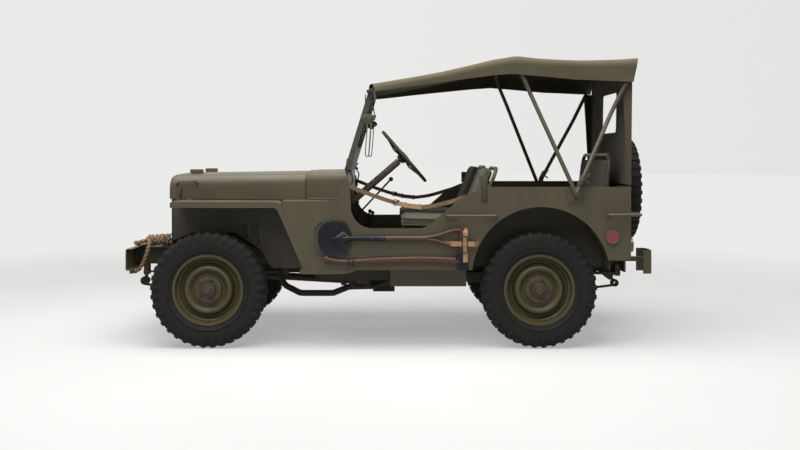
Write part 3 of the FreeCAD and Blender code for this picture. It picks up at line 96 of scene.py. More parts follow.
def blend_colours(tree, share, first, second):
    """A colour mixed from two by a mask; each may be a colour or a socket."""
    mixed = put(tree, "Mix", data_type="RGBA")
    for socket, value in ((mixed.inputs["Factor"], share), (mixed.inputs[6], first), (mixed.inputs[7], second)):
        if isinstance(value, bpy.types.NodeSocket):
            tree.links.new(value, socket)
        else:
            socket.default_value = value if isinstance(value, float) else (*value, 1.0)
    return mixed.outputs[2]


def layered(tree, base, *layers):
    """A colour with others laid over it, each given as (mask, colour)."""
    for mask, colour in layers:
        base = blend_colours(tree, mask, base, colour)
    return base


def scaled(colour, factor):
    return tuple(min(1.0, c * factor) for c in colour)


# ---------------------------------------------------------------- camera, floor and light

BACKDROP = (0.83, 0.835, 0.82, 1)


def set_camera():
    """Seen from the driver's side, level with the doors."""
    eye = bpy.data.cameras.new("side_camera")
    eye.lens, eye.sensor_width = 45.7, 36.0
    eye.shift_x, eye.shift_y = 0.0175, -0.0865
    eye.clip_end = 200.0
    camera = linked("side_camera", eye)
    camera.location = (-0.0579, -6.9, 1.18)
    camera.rotation_euler = (math.radians(90.0), 0.0, 0.0)
    bpy.context.scene.camera = camera


def seen_directly(tree):
    """1 for what the camera or a shiny face sees; also the light path's own outputs."""
    ray = put(tree, "LightPath").outputs
    return maths(tree, "MAXIMUM", ray["Is Camera Ray"], ray["Is Glossy Ray"]), ray


def paint_floor(tree):
    place = put(tree, "TexCoord").outputs["Object"]
    tone = remap(tree, clouds(tree, place, 0.45, 5.0), 0.3, 0.7, 0.355, 0.385)
    matt = put(tree, "BsdfDiffuse", {"Color": tone})
    far = put(tree, "VectorMath", {0: place}, operation="LENGTH")
    fade = remap(tree, far.outputs["Value"], 2.6, 7.5, interpolation_type="SMOOTHSTEP")
    glow = put(tree, "Emission", {"Color": BACKDROP, "Strength": 1.0})
    seen, _ = seen_directly(tree)
    share = maths(tree, "MULTIPLY", fade, seen)
    lift = maths(tree, "MULTIPLY", seen, 0.37)
    pale = put(tree, "Emission", {"Color": (1.0, 0.995, 0.98, 1), "Strength": lift})
    lit = put(tree, "AddShader", {0: matt.outputs["BSDF"], 1: pale.outputs["Emission"]})
    mixed = put(tree, "MixShader", {"Fac": share, 1: lit.outputs["Shader"], 2: glow.outputs["Emission"]})
    put(tree, "OutputMaterial", {"Surface": mixed.outputs["Shader"]})


def paint_world(tree):
    seen, ray = seen_directly(tree)
    seen = maths(tree, "MAXIMUM", seen, ray["Is Transmission Ray"])
    light = put(tree, "Background", {"Color": (0.96, 0.98, 1.0, 1), "Strength": 0.20})
    # the backdrop the camera sees is a little darker towards the right: painted shade on the surround
    way = put(tree, "SeparateXYZ", {0: put(tree, "TexCoord").outputs["Generated"]})
    tone = remap(tree, way.outputs["X"], -0.1, 0.4, 1.0, 0.935, interpolation_type="SMOOTHSTEP")
    backdrop = put(tree, "Background", {"Color": BACKDROP, "Strength": tone})
    mixed = put(tree, "MixShader", {"Fac": seen, 1: light.outputs["Background"], 2: backdrop.outputs["Background"]})
    put(tree, "OutputWorld", {"Surface": mixed.outputs["Shader"]})


def set_stage():
    """A pale floor that keeps the car's shadow and fades into a white surround."""
    bpy.ops.object.select_all(action="DESELECT")
    bpy.ops.mesh.primitive_circle_add(vertices=96, radius=60.0, fill_type="NGON", location=(0, 0, -0.0004))
    floor = bpy.context.object
    floor.name = "studio_floor"
    paint = bpy.data.materials.new("studio_floor")
    world = bpy.data.worlds.new("studio")
    bpy.context.scene.world = world
    for owner, fill in ((paint, paint_floor), (world, paint_world)):
        owner.use_nodes = True
        owner.node_tree.nodes.clear()
        fill(owner.node_tree)
    floor.data.materials.append(paint)

    # name, place, aim, size, power in watts
    for name, place, aim, size, power in (("overhead_light", (-0.3, -1.2, 5.4), (0, 0, 0.6), (6.5, 4.2), 520),
            ("side_light", (-2.0, -5.2, 5.2), (0, 0, 0.9), (4.0, 2.0), 150),
            ("rear_light", (3.5, 5.5, 3.6), (0, 0, 0.8), (4.0, 3.0), 60)):
        lamp = bpy.data.lights.new(name, "AREA")
        lamp.shape, lamp.size, lamp.size_y, lamp.energy = "RECTANGLE", size[0], size[1], power
        lamp.color = (1.0, 0.985, 0.96)
        holder = linked(name, lamp)
        holder.location = place
        holder.rotation_euler = (Vector(aim) - Vector(place)).to_track_quat("-Z", "Y").to_euler()
    bpy.context.scene.view_settings.view_transform = "Standard"


# ---------------------------------------------------------------- shared effects

def effect(name, takes, gives):
    """An empty node group with number sockets: {name: default} in, names out.
    Gives the group, the texture coordinates, the given numbers and the sockets to fill."""
    group = bpy.data.node_groups.new(name, "ShaderNodeTree")
    for label, value in takes.items():
        group.interface.new_socket(name=label, in_out="INPUT", socket_type="NodeSocketFloat").default_value = value
    for label in gives:
        group.interface.new_socket(name=label, in_out="OUTPUT", socket_type="NodeSocketFloat")
    place = put(group, "TexCoord").outputs
    given, out = group.nodes.new("NodeGroupInput").outputs, group.nodes.new("NodeGroupOutput").inputs
    return group, place, given, out


def give(group, out, **results):
    """Joins the results to the group's outputs of the same names."""
    for label, result in results.items():
        group.links.new(result, out[label])
    return group


def make_mottle():
    """Slow changes of tone and a fine grain, both from the piece's own coordinates."""
    group, place, given, out = effect("mottle", {"Patch Scale": 5.0, "Grain Scale": 300.0, "Streak": 1.0},
            ("Tone", "Grain"))
    squeeze = put(group, "CombineXYZ", {0: 1.0, 1: 1.0, 2: given["Streak"]})
    vector = put(group, "VectorMath", {0: place["Object"], 1: squeeze.outputs[0]}, operation="MULTIPLY")
    patches = clouds(group, vector.outputs[0], given["Patch Scale"], 6.0, 0.62)
    grain = clouds(group, place["Object"], given["Grain Scale"], 2.0)
    return give(group, out, Tone=remap(group, patches, 0.30, 0.70), Grain=grain)


def make_edge_wear():
    """A mask along sharp edges, broken up into rubs and chips."""
    group, place, given, out = effect("edge_wear", {"Width": 0.003, "Break Scale": 30.0, "Amount": 0.6},
            ("Rub", "Chip"))
    rounded = put(group, "Bevel", {"Radius": given["Width"]}, samples=4)
    flat = put(group, "NewGeometry")
    same = put(group, "VectorMath", {0: rounded.outputs["Normal"], 1: flat.outputs["Normal"]}, operation="DOT_PRODUCT")
    turn = remap(group, same.outputs["Value"], 0.995, 0.80)
    breaks = clouds(group, place["Object"], given["Break Scale"], 5.0, 0.7)
    masks = []
    for soft in [remap(group, breaks, 0.35, 0.62), remap(group, breaks, 0.60, 0.66)]:
        mask = maths(group, "MULTIPLY", turn, soft)
        masks.append(maths(group, "MULTIPLY", mask, given["Amount"], use_clamp=True))
    return give(group, out, Rub=masks[0], Chip=masks[1])


def make_dust():
    """Pale road dust: thin everywhere, more on faces that look up, and in patches."""
    group, place, given, out = effect("road_dust", {"Amount": 0.4, "Patch Scale": 4.0}, ("Dust",))
    parts = put(group, "SeparateXYZ", {0: put(group, "NewGeometry").outputs["Normal"]})
    up = remap(group, parts.outputs["Z"], 0.1, 1.0, 0.22)
    patches = clouds(group, place["Object"], given["Patch Scale"], 7.0, 0.68)
    both = maths(group, "MULTIPLY", up, remap(group, patches, 0.38, 0.75))
    return give(group, out, Dust=maths(group, "MULTIPLY", both, given["Amount"], use_clamp=True))


def make_weave():
    """Plain weave on a cloth's own map, which is in metres."""
    group, place, given, out = effect("canvas_weave", {"Threads": 700.0}, ("Height", "Slub"))
    parts = put(group, "SeparateXYZ", {0: place["UV"]}).outputs
    turn = maths(group, "MULTIPLY", given["Threads"], math.pi)
    waves = [maths(group, "SINE", maths(group, "MULTIPLY", parts[axis], turn)) for axis in ("X", "Y")]
    height = remap(group, maths(group, "MULTIPLY", *waves), -1.0, 1.0)
    long_way = put(group, "Mapping", {"Vector": place["UV"], "Scale": (8.0, 160.0, 1.0)})
    return give(group, out, Height=height, Slub=clouds(group, long_way.outputs[0], 1.0, 3.0))


EFFECTS = {"mottle": make_mottle(), "edge_wear": make_edge_wear(), "road_dust": make_dust(),
           "canvas_weave": make_weave()}


def apply_effect(tree, name, **values):
    """Places one of the shared effects, with this material's own values, and gives its outputs."""
    used = tree.nodes.new("ShaderNodeGroup")
    used.node_tree = EFFECTS[name]
    for key, value in values.items():
        used.inputs[key.replace("_", " ").title()].default_value = value
    return used.outputs


def mottle_of(tree, patch, grain, streak=1.0):
    made = apply_effect(tree, "mottle", patch_scale=patch, grain_scale=grain, streak=streak)
    return made["Tone"], made["Grain"]


def wear_of(tree, width, breaks, amount):
    made = apply_effect(tree, "edge_wear", width=width, break_scale=breaks, amount=amount)
    return made["Rub"], made["Chip"]


def dust_of(tree, amount, patch):
    return apply_effect(tree, "road_dust", amount=amount, patch_scale=patch)["Dust"]


# ---------------------------------------------------------------- finishes

def start_material(name, **constants):
    """A new material and its shader, with the numbers that are the same all over it."""
    made = bpy.data.materials.new(name)
    made.use_nodes = True
    shader = made.node_tree.nodes["Principled BSDF"]
    for key, value in constants.items():
        shader.inputs[key.replace("_", " ").title().replace("Ior", "IOR")].default_value = value
    return made, made.node_tree, shader


def set_look(tree, shader, base, rough, height, strength, distance):
    """Joins colour, roughness (a number or a socket) and relief to the shader."""
    tree.links.new(base, shader.inputs["Base Color"])
    if isinstance(rough, float):
        shader.inputs["Roughness"].default_value = rough
    else:
        tree.links.new(rough, shader.inputs["Roughness"])
    bump = put(tree, "Bump", {"Height": height, "Strength": strength, "Distance": distance})
    tree.links.new(bump.outputs["Normal"], shader.inputs["Normal"])


def painted(name, colour, rub_and_highlight_colour, rough=0.46, dust=0.20, patch=3.0):
    """Brushed flat service paint: mottled tone, edges lighter as rubbed paint and painted highlight, a few chips, road
    dust.
    """
    made, tree, shader = start_material(name, specular_ior_level=0.38)
    tone, grain = mottle_of(tree, patch, 420.0, 0.6)
    rub, chip = wear_of(tree, 0.003, 28.0, 0.5)
    dusty = dust_of(tree, dust, 5.0)
    # the lighter colour along the edges is partly rubbed paint, partly a painted highlight
    base = layered(tree, blend_colours(tree, tone, scaled(colour, 0.84), scaled(colour, 1.13)),
            (dusty, (0.175, 0.15, 0.095)), (rub, rub_and_highlight_colour), (chip, (0.035, 0.030, 0.024)))
    set_look(tree, shader, base, remap(tree, tone, low=rough - 0.07, high=rough + 0.09), grain, 0.12, 0.0006)
    return made


def make_tyre_rubber():
    """Near-black rubber, greyer and dustier between the lugs."""
    made, tree, shader = start_material("tyre_rubber", specular_ior_level=0.22)
    tone, grain = mottle_of(tree, 9.0, 500.0)
    rub, _ = wear_of(tree, 0.004, 22.0, 0.8)
    dusty = dust_of(tree, 0.12, 14.0)
    base = layered(tree, blend_colours(tree, tone, (0.0072, 0.0072, 0.0078), (0.0130, 0.0124, 0.0120)),
            (dusty, (0.055, 0.048, 0.036)), (rub, (0.034, 0.031, 0.026)))
    set_look(tree, shader, base, remap(tree, tone, low=0.62, high=0.82), grain, 0.25, 0.0008)
    return made


def make_cloth(name, colour, pale, threads, fold_scale=2.5):
    """Duck canvas: a plain weave on the cloth's map, slubs, sun-faded patches."""
    made, tree, shader = start_material(name, specular_ior_level=0.15, sheen_weight=0.12, sheen_roughness=0.6)
    weave = apply_effect(tree, "canvas_weave", threads=threads)
    tone, _ = mottle_of(tree, fold_scale, 60.0)
    dusty = dust_of(tree, 0.5, 3.0)
    base = layered(tree, blend_colours(tree, tone, scaled(colour, 0.82), scaled(colour, 1.12)), (dusty, pale))
    base = blend_colours(tree, remap(tree, weave["Slub"], 0.35, 0.65, high=0.22), base, scaled(colour, 0.55))
    set_look(tree, shader, base, 0.92, weave["Height"], 0.35, 0.0004)
    return made


def make_wood(name, colour, dark, rough):
    """Oiled wood with its grain along the piece."""
    made, tree, shader = start_material(name, specular_ior_level=0.4)
    place = put(tree, "TexCoord")
    stretched = put(tree, "Mapping", {"Vector": place.outputs["Object"], "Scale": (1.0, 14.0, 14.0)})
    grain = clouds(tree, stretched.outputs[0], 9.0, 8.0, 0.65, 0.4)
    lines = remap(tree, grain, 0.36, 0.66)
    rub, _ = wear_of(tree, 0.003, 40.0, 0.5)
    base = layered(tree, dark, (lines, colour), (rub, scaled(colour, 1.5)))
    set_look(tree, shader, base, remap(tree, grain, low=rough - 0.1, high=rough + 0.15), grain, 0.25, 0.0012)
    return made


def make_steel(name, colour, shine, rough=0.42, metallic=0.85):
    """Bare or blued steel: mottled, and bright along worn edges."""
    made, tree, shader = start_material(name, specular_ior_level=0.25)
    tone, grain = mottle_of(tree, 14.0, 500.0)
    rub, _ = wear_of(tree, 0.0025, 45.0, 0.9)
    base = layered(tree, scaled(colour, 0.7), (tone, colour), (rub, shine))
    tree.links.new(remap(tree, tone, low=metallic - 0.25, high=metallic), shader.inputs["Metallic"])
    set_look(tree, shader, base, remap(tree, tone, low=rough - 0.08, high=rough + 0.14), grain, 0.15, 0.0005)
    return made


def make_leather(name, colour, dark, rough=0.6):
    """Strap leather or close webbing: creased grain, darker at its edges."""
    made, tree, shader = start_material(name, specular_ior_level=0.3)
    place = put(tree, "TexCoord")
    cells = put(tree, "TexVoronoi", {"Vector": place.outputs["Object"], "Scale": 420.0}, feature="DISTANCE_TO_EDGE")
    tone, _ = mottle_of(tree, 26.0, 300.0)
    rub, _ = wear_of(tree, 0.002, 60.0, 0.9)
    base = layered(tree, dark, (tone, colour), (rub, scaled(dark, 0.5)))
    set_look(tree, shader, base, remap(tree, tone, low=rough - 0.1, high=rough + 0.15), cells.outputs["Distance"], 0.3,
            0.0006)
    return made


def make_rope_fibre():
    """Manila: broken pale fibres."""
    made, tree, shader = start_material("manila_fibre", specular_ior_level=0.2, sheen_weight=0.15)
    place = put(tree, "TexCoord")
    stretched = put(tree, "Mapping", {"Vector": place.outputs["Object"], "Scale": (60.0, 60.0, 60.0)})
    fibres = clouds(tree, stretched.outputs[0], 6.0, 9.0, 0.75)
    share = remap(tree, fibres, 0.35, 0.66)
    tone, _ = mottle_of(tree, 18.0, 300.0)
    base = layered(tree, (0.075, 0.043, 0.022), (share, (0.32, 0.215, 0.125)), (tone, (0.20, 0.120, 0.062)))
    set_look(tree, shader, base, 0.9, fibres, 0.6, 0.0015)
    return made


def make_pane():
    """Clear glass with a thin film of smears."""
    made, tree, shader = start_material("windscreen_pane", transmission_weight=1.0, ior=1.5,
            base_color=(0.93, 0.96, 0.95, 1.0))
    tone, _ = mottle_of(tree, 7.0, 200.0, 0.4)
    tree.links.new(remap(tree, tone, low=0.015, high=0.09), shader.inputs["Roughness"])
    return made


def make_lens(name, colour):
    """Moulded lens: fine prisms under a clear coat."""
    made, tree, shader = start_material(name, coat_weight=0.6, coat_roughness=0.08, specular_ior_level=0.6)
    place = put(tree, "TexCoord")
    cells = put(tree, "TexVoronoi", {"Vector": place.outputs["Object"], "Scale": 230.0}, feature="F1").outputs
    base = blend_colours(tree, cells["Distance"], scaled(colour, 0.6), colour)
    set_look(tree, shader, base, 0.25, cells["Distance"], 0.5, 0.001)
    return made


# the second colour of each paint lies along its edges: rubbed paint and painted highlight
FINISH = {
    "olive": painted("olive_paint", (0.070, 0.0605, 0.036), (0.19, 0.175, 0.12)),
    "wheel": painted("wheel_paint", (0.060, 0.052, 0.022), (0.15, 0.135, 0.07), dust=0.12, patch=7.0),
    "chassis": painted("chassis_paint", (0.040, 0.034, 0.020), (0.10, 0.088, 0.055), 0.68, 0.15, 6.0),
    "screen": painted("screen_paint", (0.046, 0.040, 0.026), (0.13, 0.115, 0.08), 0.58, 0.10, 9.0),
    # the apron paint is painted shade, about half as bright as the olive, for walls under the fenders and in the wheel
    # arches
    "apron": painted("apron_painted_shade", (0.036, 0.031, 0.021), (0.11, 0.10, 0.07), 0.62, 0.10, 9.0),
    "hub": painted("greasy_hub", (0.044, 0.034, 0.021), (0.15, 0.12, 0.08), 0.42, 0.10, 30.0),
    "iron": painted("dark_iron", (0.018, 0.016, 0.014), (0.06, 0.045, 0.03), 0.72, 0.2, 9.0),
    "grip": painted("black_grip", (0.016, 0.015, 0.014), (0.05, 0.045, 0.04), 0.42, 0.1, 9.0),
    "rubber": make_tyre_rubber(),
    "canopy": make_cloth("canopy_canvas", (0.086, 0.073, 0.044), (0.150, 0.130, 0.084), 650.0),
    "seat": make_cloth("seat_canvas", (0.100, 0.094, 0.066), (0.16, 0.15, 0.11), 800.0, 6.0),
    "ash": make_wood("handle_wood", (0.105, 0.038, 0.020), (0.036, 0.014, 0.009), rough=0.4),
    "block": make_wood("block_wood", (0.095, 0.085, 0.05), (0.05, 0.045, 0.028), rough=0.7),
    "tool": make_steel("tool_steel", (0.011, 0.0125, 0.018), (0.20, 0.23, 0.27), rough=0.32, metallic=0.4),
    "bright": make_steel("worn_steel", (0.20, 0.19, 0.17), (0.5, 0.48, 0.44), rough=0.4),
    "strap": make_leather("strap_leather", (0.46, 0.290, 0.155), (0.28, 0.160, 0.080)),
    "webbing": make_leather("door_webbing", (0.235, 0.150, 0.092), (0.130, 0.080, 0.050), rough=0.75),
    "rope": make_rope_fibre(),
    "pane": make_pane(),
    "red": make_lens("red_lens", (0.24, 0.007, 0.010)),
}

# finish of each frame node whose own shape stays
CARRIED = {
    "olive": "front_bumper rear_bumperettes tow_pintle side_panel_left side_panel_right fender_left fender_right "
             "cowl hood grille headlamps seat_frames canopy_bows spare_carrier grab_handles steering_column floor_pan",
    "screen": "windscreen_frame steering_wheel rear_panel",
    # the wheelhouses take the darker apron paint as painted shade in the arches
    "apron": "wheelhouses",
    "chassis": "frame front_axle rear_axle leaf_springs tie_rod knuckle_left knuckle_right propeller_shafts",
    "iron": "radiator power_unit exhaust levers_and_pedals",
    "wheel": "wheel_front_left wheel_front_right wheel_rear_left wheel_rear_right spare_wheel",
    "rubber": "tyre_front_left tyre_front_right tyre_rear_left tyre_rear_right spare_tyre",
    "canopy": "canopy_top canopy_curtains",
    "seat": "seat_cushions",
    "ash": "axe", "tool": "shovel", "block": "hood_blocks", "strap": "tool_straps", "webbing": "door_straps",
    "pane": "windscreen_glass", "red": "marker_lamps", "rope": "rope_hank",
}


def shade_under_fenders(mesh):
    """The wall under a fender carries the darker apron paint: painted shade where the fender overhangs it."""
    mesh.materials.append(FINISH["apron"])
    for face in mesh.polygons:
        if abs(face.center.y) < 0.57 and face.center.z < 0.888:
            face.material_index = 1


def finish_frame():
    for finish, names in CARRIED.items():
        for name in names.split():
            if name in nodes:
                mesh = nodes[name].data
                mesh.materials.clear()
                mesh.materials.append(FINISH[finish])
                if name.startswith("fender"):
                    shade_under_fenders(mesh)


# ---------------------------------------------------------------- making and finishing a piece


def only(piece):
    """Object mode, with this piece alone selected and active."""
    if bpy.context.object and bpy.context.object.mode != "OBJECT":
        bpy.ops.object.mode_set(mode="OBJECT")
    bpy.ops.object.select_all(action="DESELECT")
    if piece:
        piece.select_set(True)
        bpy.context.view_layer.objects.active = piece


def apply_modifier(piece, kind, **settings):
    only(piece)
    added = piece.modifiers.new(kind.lower(), kind)
    for key, value in settings.items():
        setattr(added, key, value)
    bpy.ops.object.modifier_apply(modifier=added.name)


def round_edges(piece, width, segments, angle):
    """Rounds the edges that turn by more than the angle; the width is in millimetres."""
    apply_modifier(piece, "BEVEL", width=width / 1000, segments=segments, limit_method="ANGLE",
            angle_limit=math.radians(angle))


def named(name):
    """The piece just made, with its name."""
    piece = bpy.context.object
    piece.name = name
    return piece


def settled(piece):
    """Bakes the place, turn and size of the selected piece into its mesh."""
    bpy.ops.object.transform_apply(location=True, rotation=True, scale=True)
    return piece


def faced_out(piece):
    """Turns all faces of a closed form outwards."""
    only(piece)
    bpy.ops.object.mode_set(mode="EDIT")
    bpy.ops.mesh.select_all(action="SELECT")
    bpy.ops.mesh.normals_make_consistent(inside=False)
    bpy.ops.object.mode_set(mode="OBJECT")
    return piece


def block(name, low, high):
    """A box between two corners, in millimetres (station, side, height)."""
    only(None)
    a, b = spot(*low), spot(*high)
    bpy.ops.mesh.primitive_cube_add(size=1.0, location=(a + b) / 2, scale=tuple(abs(q) for q in b - a))
    return settled(named(name))


def bar(name, start, end, radius, sides=20, taper=None):
    """A round bar between two places, tapered if a second radius is given."""
    only(None)
    a, b = spot(*start), spot(*end)
    pose = {"location": (a + b) / 2, "rotation": (b - a).to_track_quat("Z", "Y").to_euler(), "depth": (b - a).length,
            "vertices": sides}
    if taper is None:
        bpy.ops.mesh.primitive_cylinder_add(radius=radius / 1000, **pose)
    else:
        bpy.ops.mesh.primitive_cone_add(radius1=radius / 1000, radius2=taper / 1000, **pose)
    return settled(named(name))


def tube(name, points, radius, closed=False, smooth=8, facets=3):
    """A round bar along a smooth line near the given points, which are in metres; its radius in millimetres."""
    line = bpy.data.curves.new(name, "CURVE")
    line.dimensions, line.bevel_depth, line.bevel_resolution = "3D", radius / 1000, facets
    line.use_fill_caps, line.resolution_u = True, smooth
    spline = line.splines.new("NURBS")
    spline.points.add(len(points) - 1)
    for point, place in zip(spline.points, points):
        point.co = (*place, 1.0)
    spline.order_u = 3
    spline.use_cyclic_u = closed
    spline.use_endpoint_u = not closed
    only(linked(name, line))
    bpy.ops.object.convert(target="MESH")
    return bpy.context.object


def bent_bar(name, places, radius, closed=False, smooth=8):
    """A round bar along a smooth line near the given places, in millimetres."""
    return tube(name, [spot(*place) for place in places], radius, closed, smooth)


def tapered_form(name, sections):
    """A closed form whose section changes along the car: (station, side, height, half depth, half height)."""
    only(None)
    rings = len(sections) - 1
    bpy.ops.mesh.primitive_uv_sphere_add(segments=16, ring_count=rings, radius=1.0, location=(0, 0, 0))
    piece = named(name)
    for vertex in piece.data.vertices:
        ring = round(math.acos(max(-1.0, min(1.0, vertex.co.z))) / math.pi * rings)
        station, side, high, deep, tall = sections[ring]
        size = 1.0 if 0 < ring < rings else 0.0
        turn = math.atan2(vertex.co.y, vertex.co.x) * size
        vertex.co = spot(station, side + size * deep * math.cos(turn), high + size * tall * math.sin(turn))
    return faced_out(piece)


def shaped_grid(name, columns, rows, place):
    """An open sheet of columns by rows points; place(column, row) gives each of them in metres."""
    only(None)
    bpy.ops.mesh.primitive_grid_add(x_subdivisions=columns - 1, y_subdivisions=rows - 1, size=1.0)
    piece = named(name)
    ordered = sorted(piece.data.vertices, key=lambda v: (round(v.co.x, 4), round(v.co.y, 4)))
    for i, vertex in enumerate(ordered):
        vertex.co = place(*divmod(i, rows))
    return piece


def join(name, pieces):
    only(pieces[0])
    for piece in pieces:
        piece.select_set(True)
    if len(pieces) > 1:
        bpy.ops.object.join()
    return named(name)


def spun(name, section, centre, axis, steps=72):
    """A ring made by spinning a closed section (along the axis, radius) about a level axis, in millimetres."""
    only(None)
    bpy.ops.mesh.primitive_circle_add(vertices=len(section), radius=0.01, fill_type="NOTHING", location=(0, 0, 0))
    piece = named(name)
    axis, middle = Vector(axis), spot(*centre)
    for vertex, (along, radius) in zip(piece.data.vertices, section):
        vertex.co = middle + axis * along / 1000 + UP * radius / 1000
    bpy.ops.object.mode_set(mode="EDIT")
    bpy.ops.mesh.select_all(action="SELECT")
    bpy.ops.mesh.spin(steps=steps, angle=math.tau, center=middle, axis=axis)
    bpy.ops.mesh.select_all(action="SELECT")
    bpy.ops.mesh.remove_doubles(threshold=0.00002)
    return faced_out(piece)


def own_copy(piece):
    """A second piece with its own mesh."""
    twin = piece.copy()
    twin.data = piece.data.copy()
    bpy.context.scene.collection.objects.link(twin)
    return twin


def turned_copies(piece, count, centre, axis, start=0.0):
    """Copies of a piece set round an axis, joined with the first."""
    middle = spot(*centre)
    copies = []
    for i in range(count):
        twin = piece if i == count - 1 else own_copy(piece)
        turn = Matrix.Rotation(start + math.tau * i / count, 4, Vector(axis))
        twin.data.transform(Matrix.Translation(middle) @ turn @ Matrix.Translation(-middle))
        copies.append(twin)
    return join(piece.name, copies)


def shifted_copy(piece, name, move):
    """A second piece, moved in millimetres."""
    twin = own_copy(piece)
    twin.name = name
    twin.data.transform(Matrix.Translation(Vector(move) / 1000))
    return twin


def finish_piece(piece, body, finish, bevel=0.0, angle=32, replaces=()):
    """Rounds the edges, bakes the place into the mesh, paints it and lets it ride; no angle means smooth all over."""
    if bevel:
        round_edges(piece, bevel, 2, 38)
    only(piece)
    settled(piece)
    if angle:
        bpy.ops.object.shade_smooth_by_angle(angle=math.radians(angle))
    else:
        for face in piece.data.polygons:
            face.use_smooth = True
    piece.data.materials.clear()
    piece.data.materials.append(FINISH[finish])
    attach(piece, body)
    if replaces:
        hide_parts(*[replaces] if isinstance(replaces, str) else replaces)
    return piece


def reaches(points):
    """How far along a line each of its points lies."""
    made = [0.0]
    for a, b in zip(points, points[1:]):
        made.append(made[-1] + (b - a).length)
    return made


def cloth_grid(name, rows, thick):
    """Cloth from rows of places in metres, with a map in metres; gives the piece, its width and its length."""
    across, along = len(rows[0]), len(rows)
    mesh = bpy.data.meshes.new(name)
    mesh.from_pydata([tuple(p) for row in rows for p in row], [],
            [(r * across + c, r * across + c + 1, (r + 1) * across + c + 1, (r + 1) * across + c)
            for r in range(along - 1) for c in range(across - 1)])
    reach = reaches([row[across // 2] for row in rows])
    width = reaches(rows[along // 2])
    layer = mesh.uv_layers.new(name="cloth_map")
    for loop in mesh.loops:
        r, c = divmod(loop.vertex_index, across)
        layer.data[loop.index].uv = (width[c], reach[r])
    piece = linked(name, mesh)
    if thick:
        apply_modifier(piece, "SOLIDIFY", thickness=thick / 1000, offset=0.0)
    return piece, width[-1], reach[-1]


def canvas(name, rows, thick, replaces=()):
    """A finished piece of the canopy's cloth, with its width and length."""
    piece, width, length = cloth_grid(name, rows, thick)
    finish_piece(piece, "car", "canopy", angle=60, replaces=replaces)
    return piece, width, length


def steps(first, last, count):
    return [first + (last - first) * i / (count - 1) for i in range(count)]


# ---------------------------------------------------------------- canopy

def between(value, table):
    """Straight interpolation in a table of (value, result)."""
    for (a, fa), (b, fb) in zip(table, table[1:]):
        if value <= b or (b, fb) == table[-1]:
            share = min(1.0, max(0.0, (value - a) / (b - a)))
            return fa + (fb - fa) * share
    return table[-1][1]


ROOF_FRONT, ROOF_BACK, BOW = 1006, 2652, 1895  # stations of the cloth's ends and of the front bow
ROOF_TOP = [(1006, 1624), (1440, 1706), (1760, 1778), (1880, 1794), (1920, 1794.5), (2040, 1786), (2290, 1776),
            (2560, 1777), (2652, 1783)]
ROOF_HEM = [(1006, 1574), (1440, 1633), (1760, 1674), (1880, 1683), (2000, 1674), (2290, 1648), (2652, 1634)]
ROOF_HALF, ROOF_ROUND = 657, 46


def roof_place(along, across, lift=0.0, ripple=1.0):
    """A place on the roof cloth. along runs 0 to 1 from front to back, across -1 to 1 from hem to hem."""
    side = -1 if across < 0 else 1
    reach = 1 - abs(across)  # 0 at the hem
    rough_station = ROOF_FRONT + (ROOF_BACK - ROOF_FRONT) * along
    top, hem = between(rough_station, ROOF_TOP), between(rough_station, ROOF_HEM)
    if side > 0:
        hem += 26 * max(0.0, 1 - (rough_station - ROOF_FRONT) / 800)
    fall, arc = top - ROOF_ROUND - hem, ROOF_ROUND * math.pi / 2
    length = fall + arc + ROOF_HALF - ROOF_ROUND
    s = reach * length
    if s < fall:
        y, z, out, up = ROOF_HALF, hem + s, 1.0, 0.0
        drop = 1 - s / (fall + arc)
    elif s < fall + arc:
        turn = (s - fall) / ROOF_ROUND
        y = ROOF_HALF - ROOF_ROUND + ROOF_ROUND * math.cos(turn)
        z = top - ROOF_ROUND + ROOF_ROUND * math.sin(turn)
        out, up = math.cos(turn), math.sin(turn)
        drop = 1 - s / (fall + arc)
    else:
        y = ROOF_HALF - ROOF_ROUND - (s - fall - arc)
        z = top + 8 * (1 - (y / (ROOF_HALF - ROOF_ROUND)) ** 2)
        out, up, drop = 0.0, 1.0, 0.0
    first, last = ROOF_FRONT + 16 * drop, ROOF_BACK - 38 * drop
    station = first + (last - first) * along
    flatness = max(0.0, 1 - abs(y) / ROOF_HALF)
    # the cloth sinks between the header and the bows, most along its middle
    sink = 0.0
    for first, last, deep in ((ROOF_FRONT, BOW, 12), (1910, 2600, 16)):
        if first < station < last:
            sink = deep * math.sin(math.pi * (station - first) / (last - first)) * (0.35 + 0.65 * flatness ** 0.6)
    # folds: slack ripples down the falls, pulls that fan out from the ends of the front bow
    wave = noise.noise(Vector((station / 190, across * 3.0, 2.7))) * 3.2 * (0.25 + drop)
    wave += noise.noise(Vector((station / 70, across * 6.0, 9.1))) * 1.1 * (0.3 + drop)
    bow = (station - BOW) / 330
    pull = math.exp(-bow * bow)
    fan = math.sin((station - BOW) / 26 + (1 - drop) * 5.0) * 2.0 * pull * drop * (1 - drop) * 2.4
    rear = math.exp(-((station - ROOF_BACK) / 170) ** 2) * math.sin((z - 1700) / 21 + station / 60) * 2.2 * drop
    push = lift + (wave + fan + rear) * ripple
    z -= sink * up
    return spot(station, side * (y + out * (push + 1.5 * drop * ripple)), z + up * push * 0.8)


def roof_strip(name, alongs, acrosses, lift):
    """A band sewn on the roof: hem, seam or chafe strip, following the same folds."""
    return canvas("roof_" + name, [[roof_place(a, c, lift) for c in acrosses] for a in alongs], 1.2)[0]


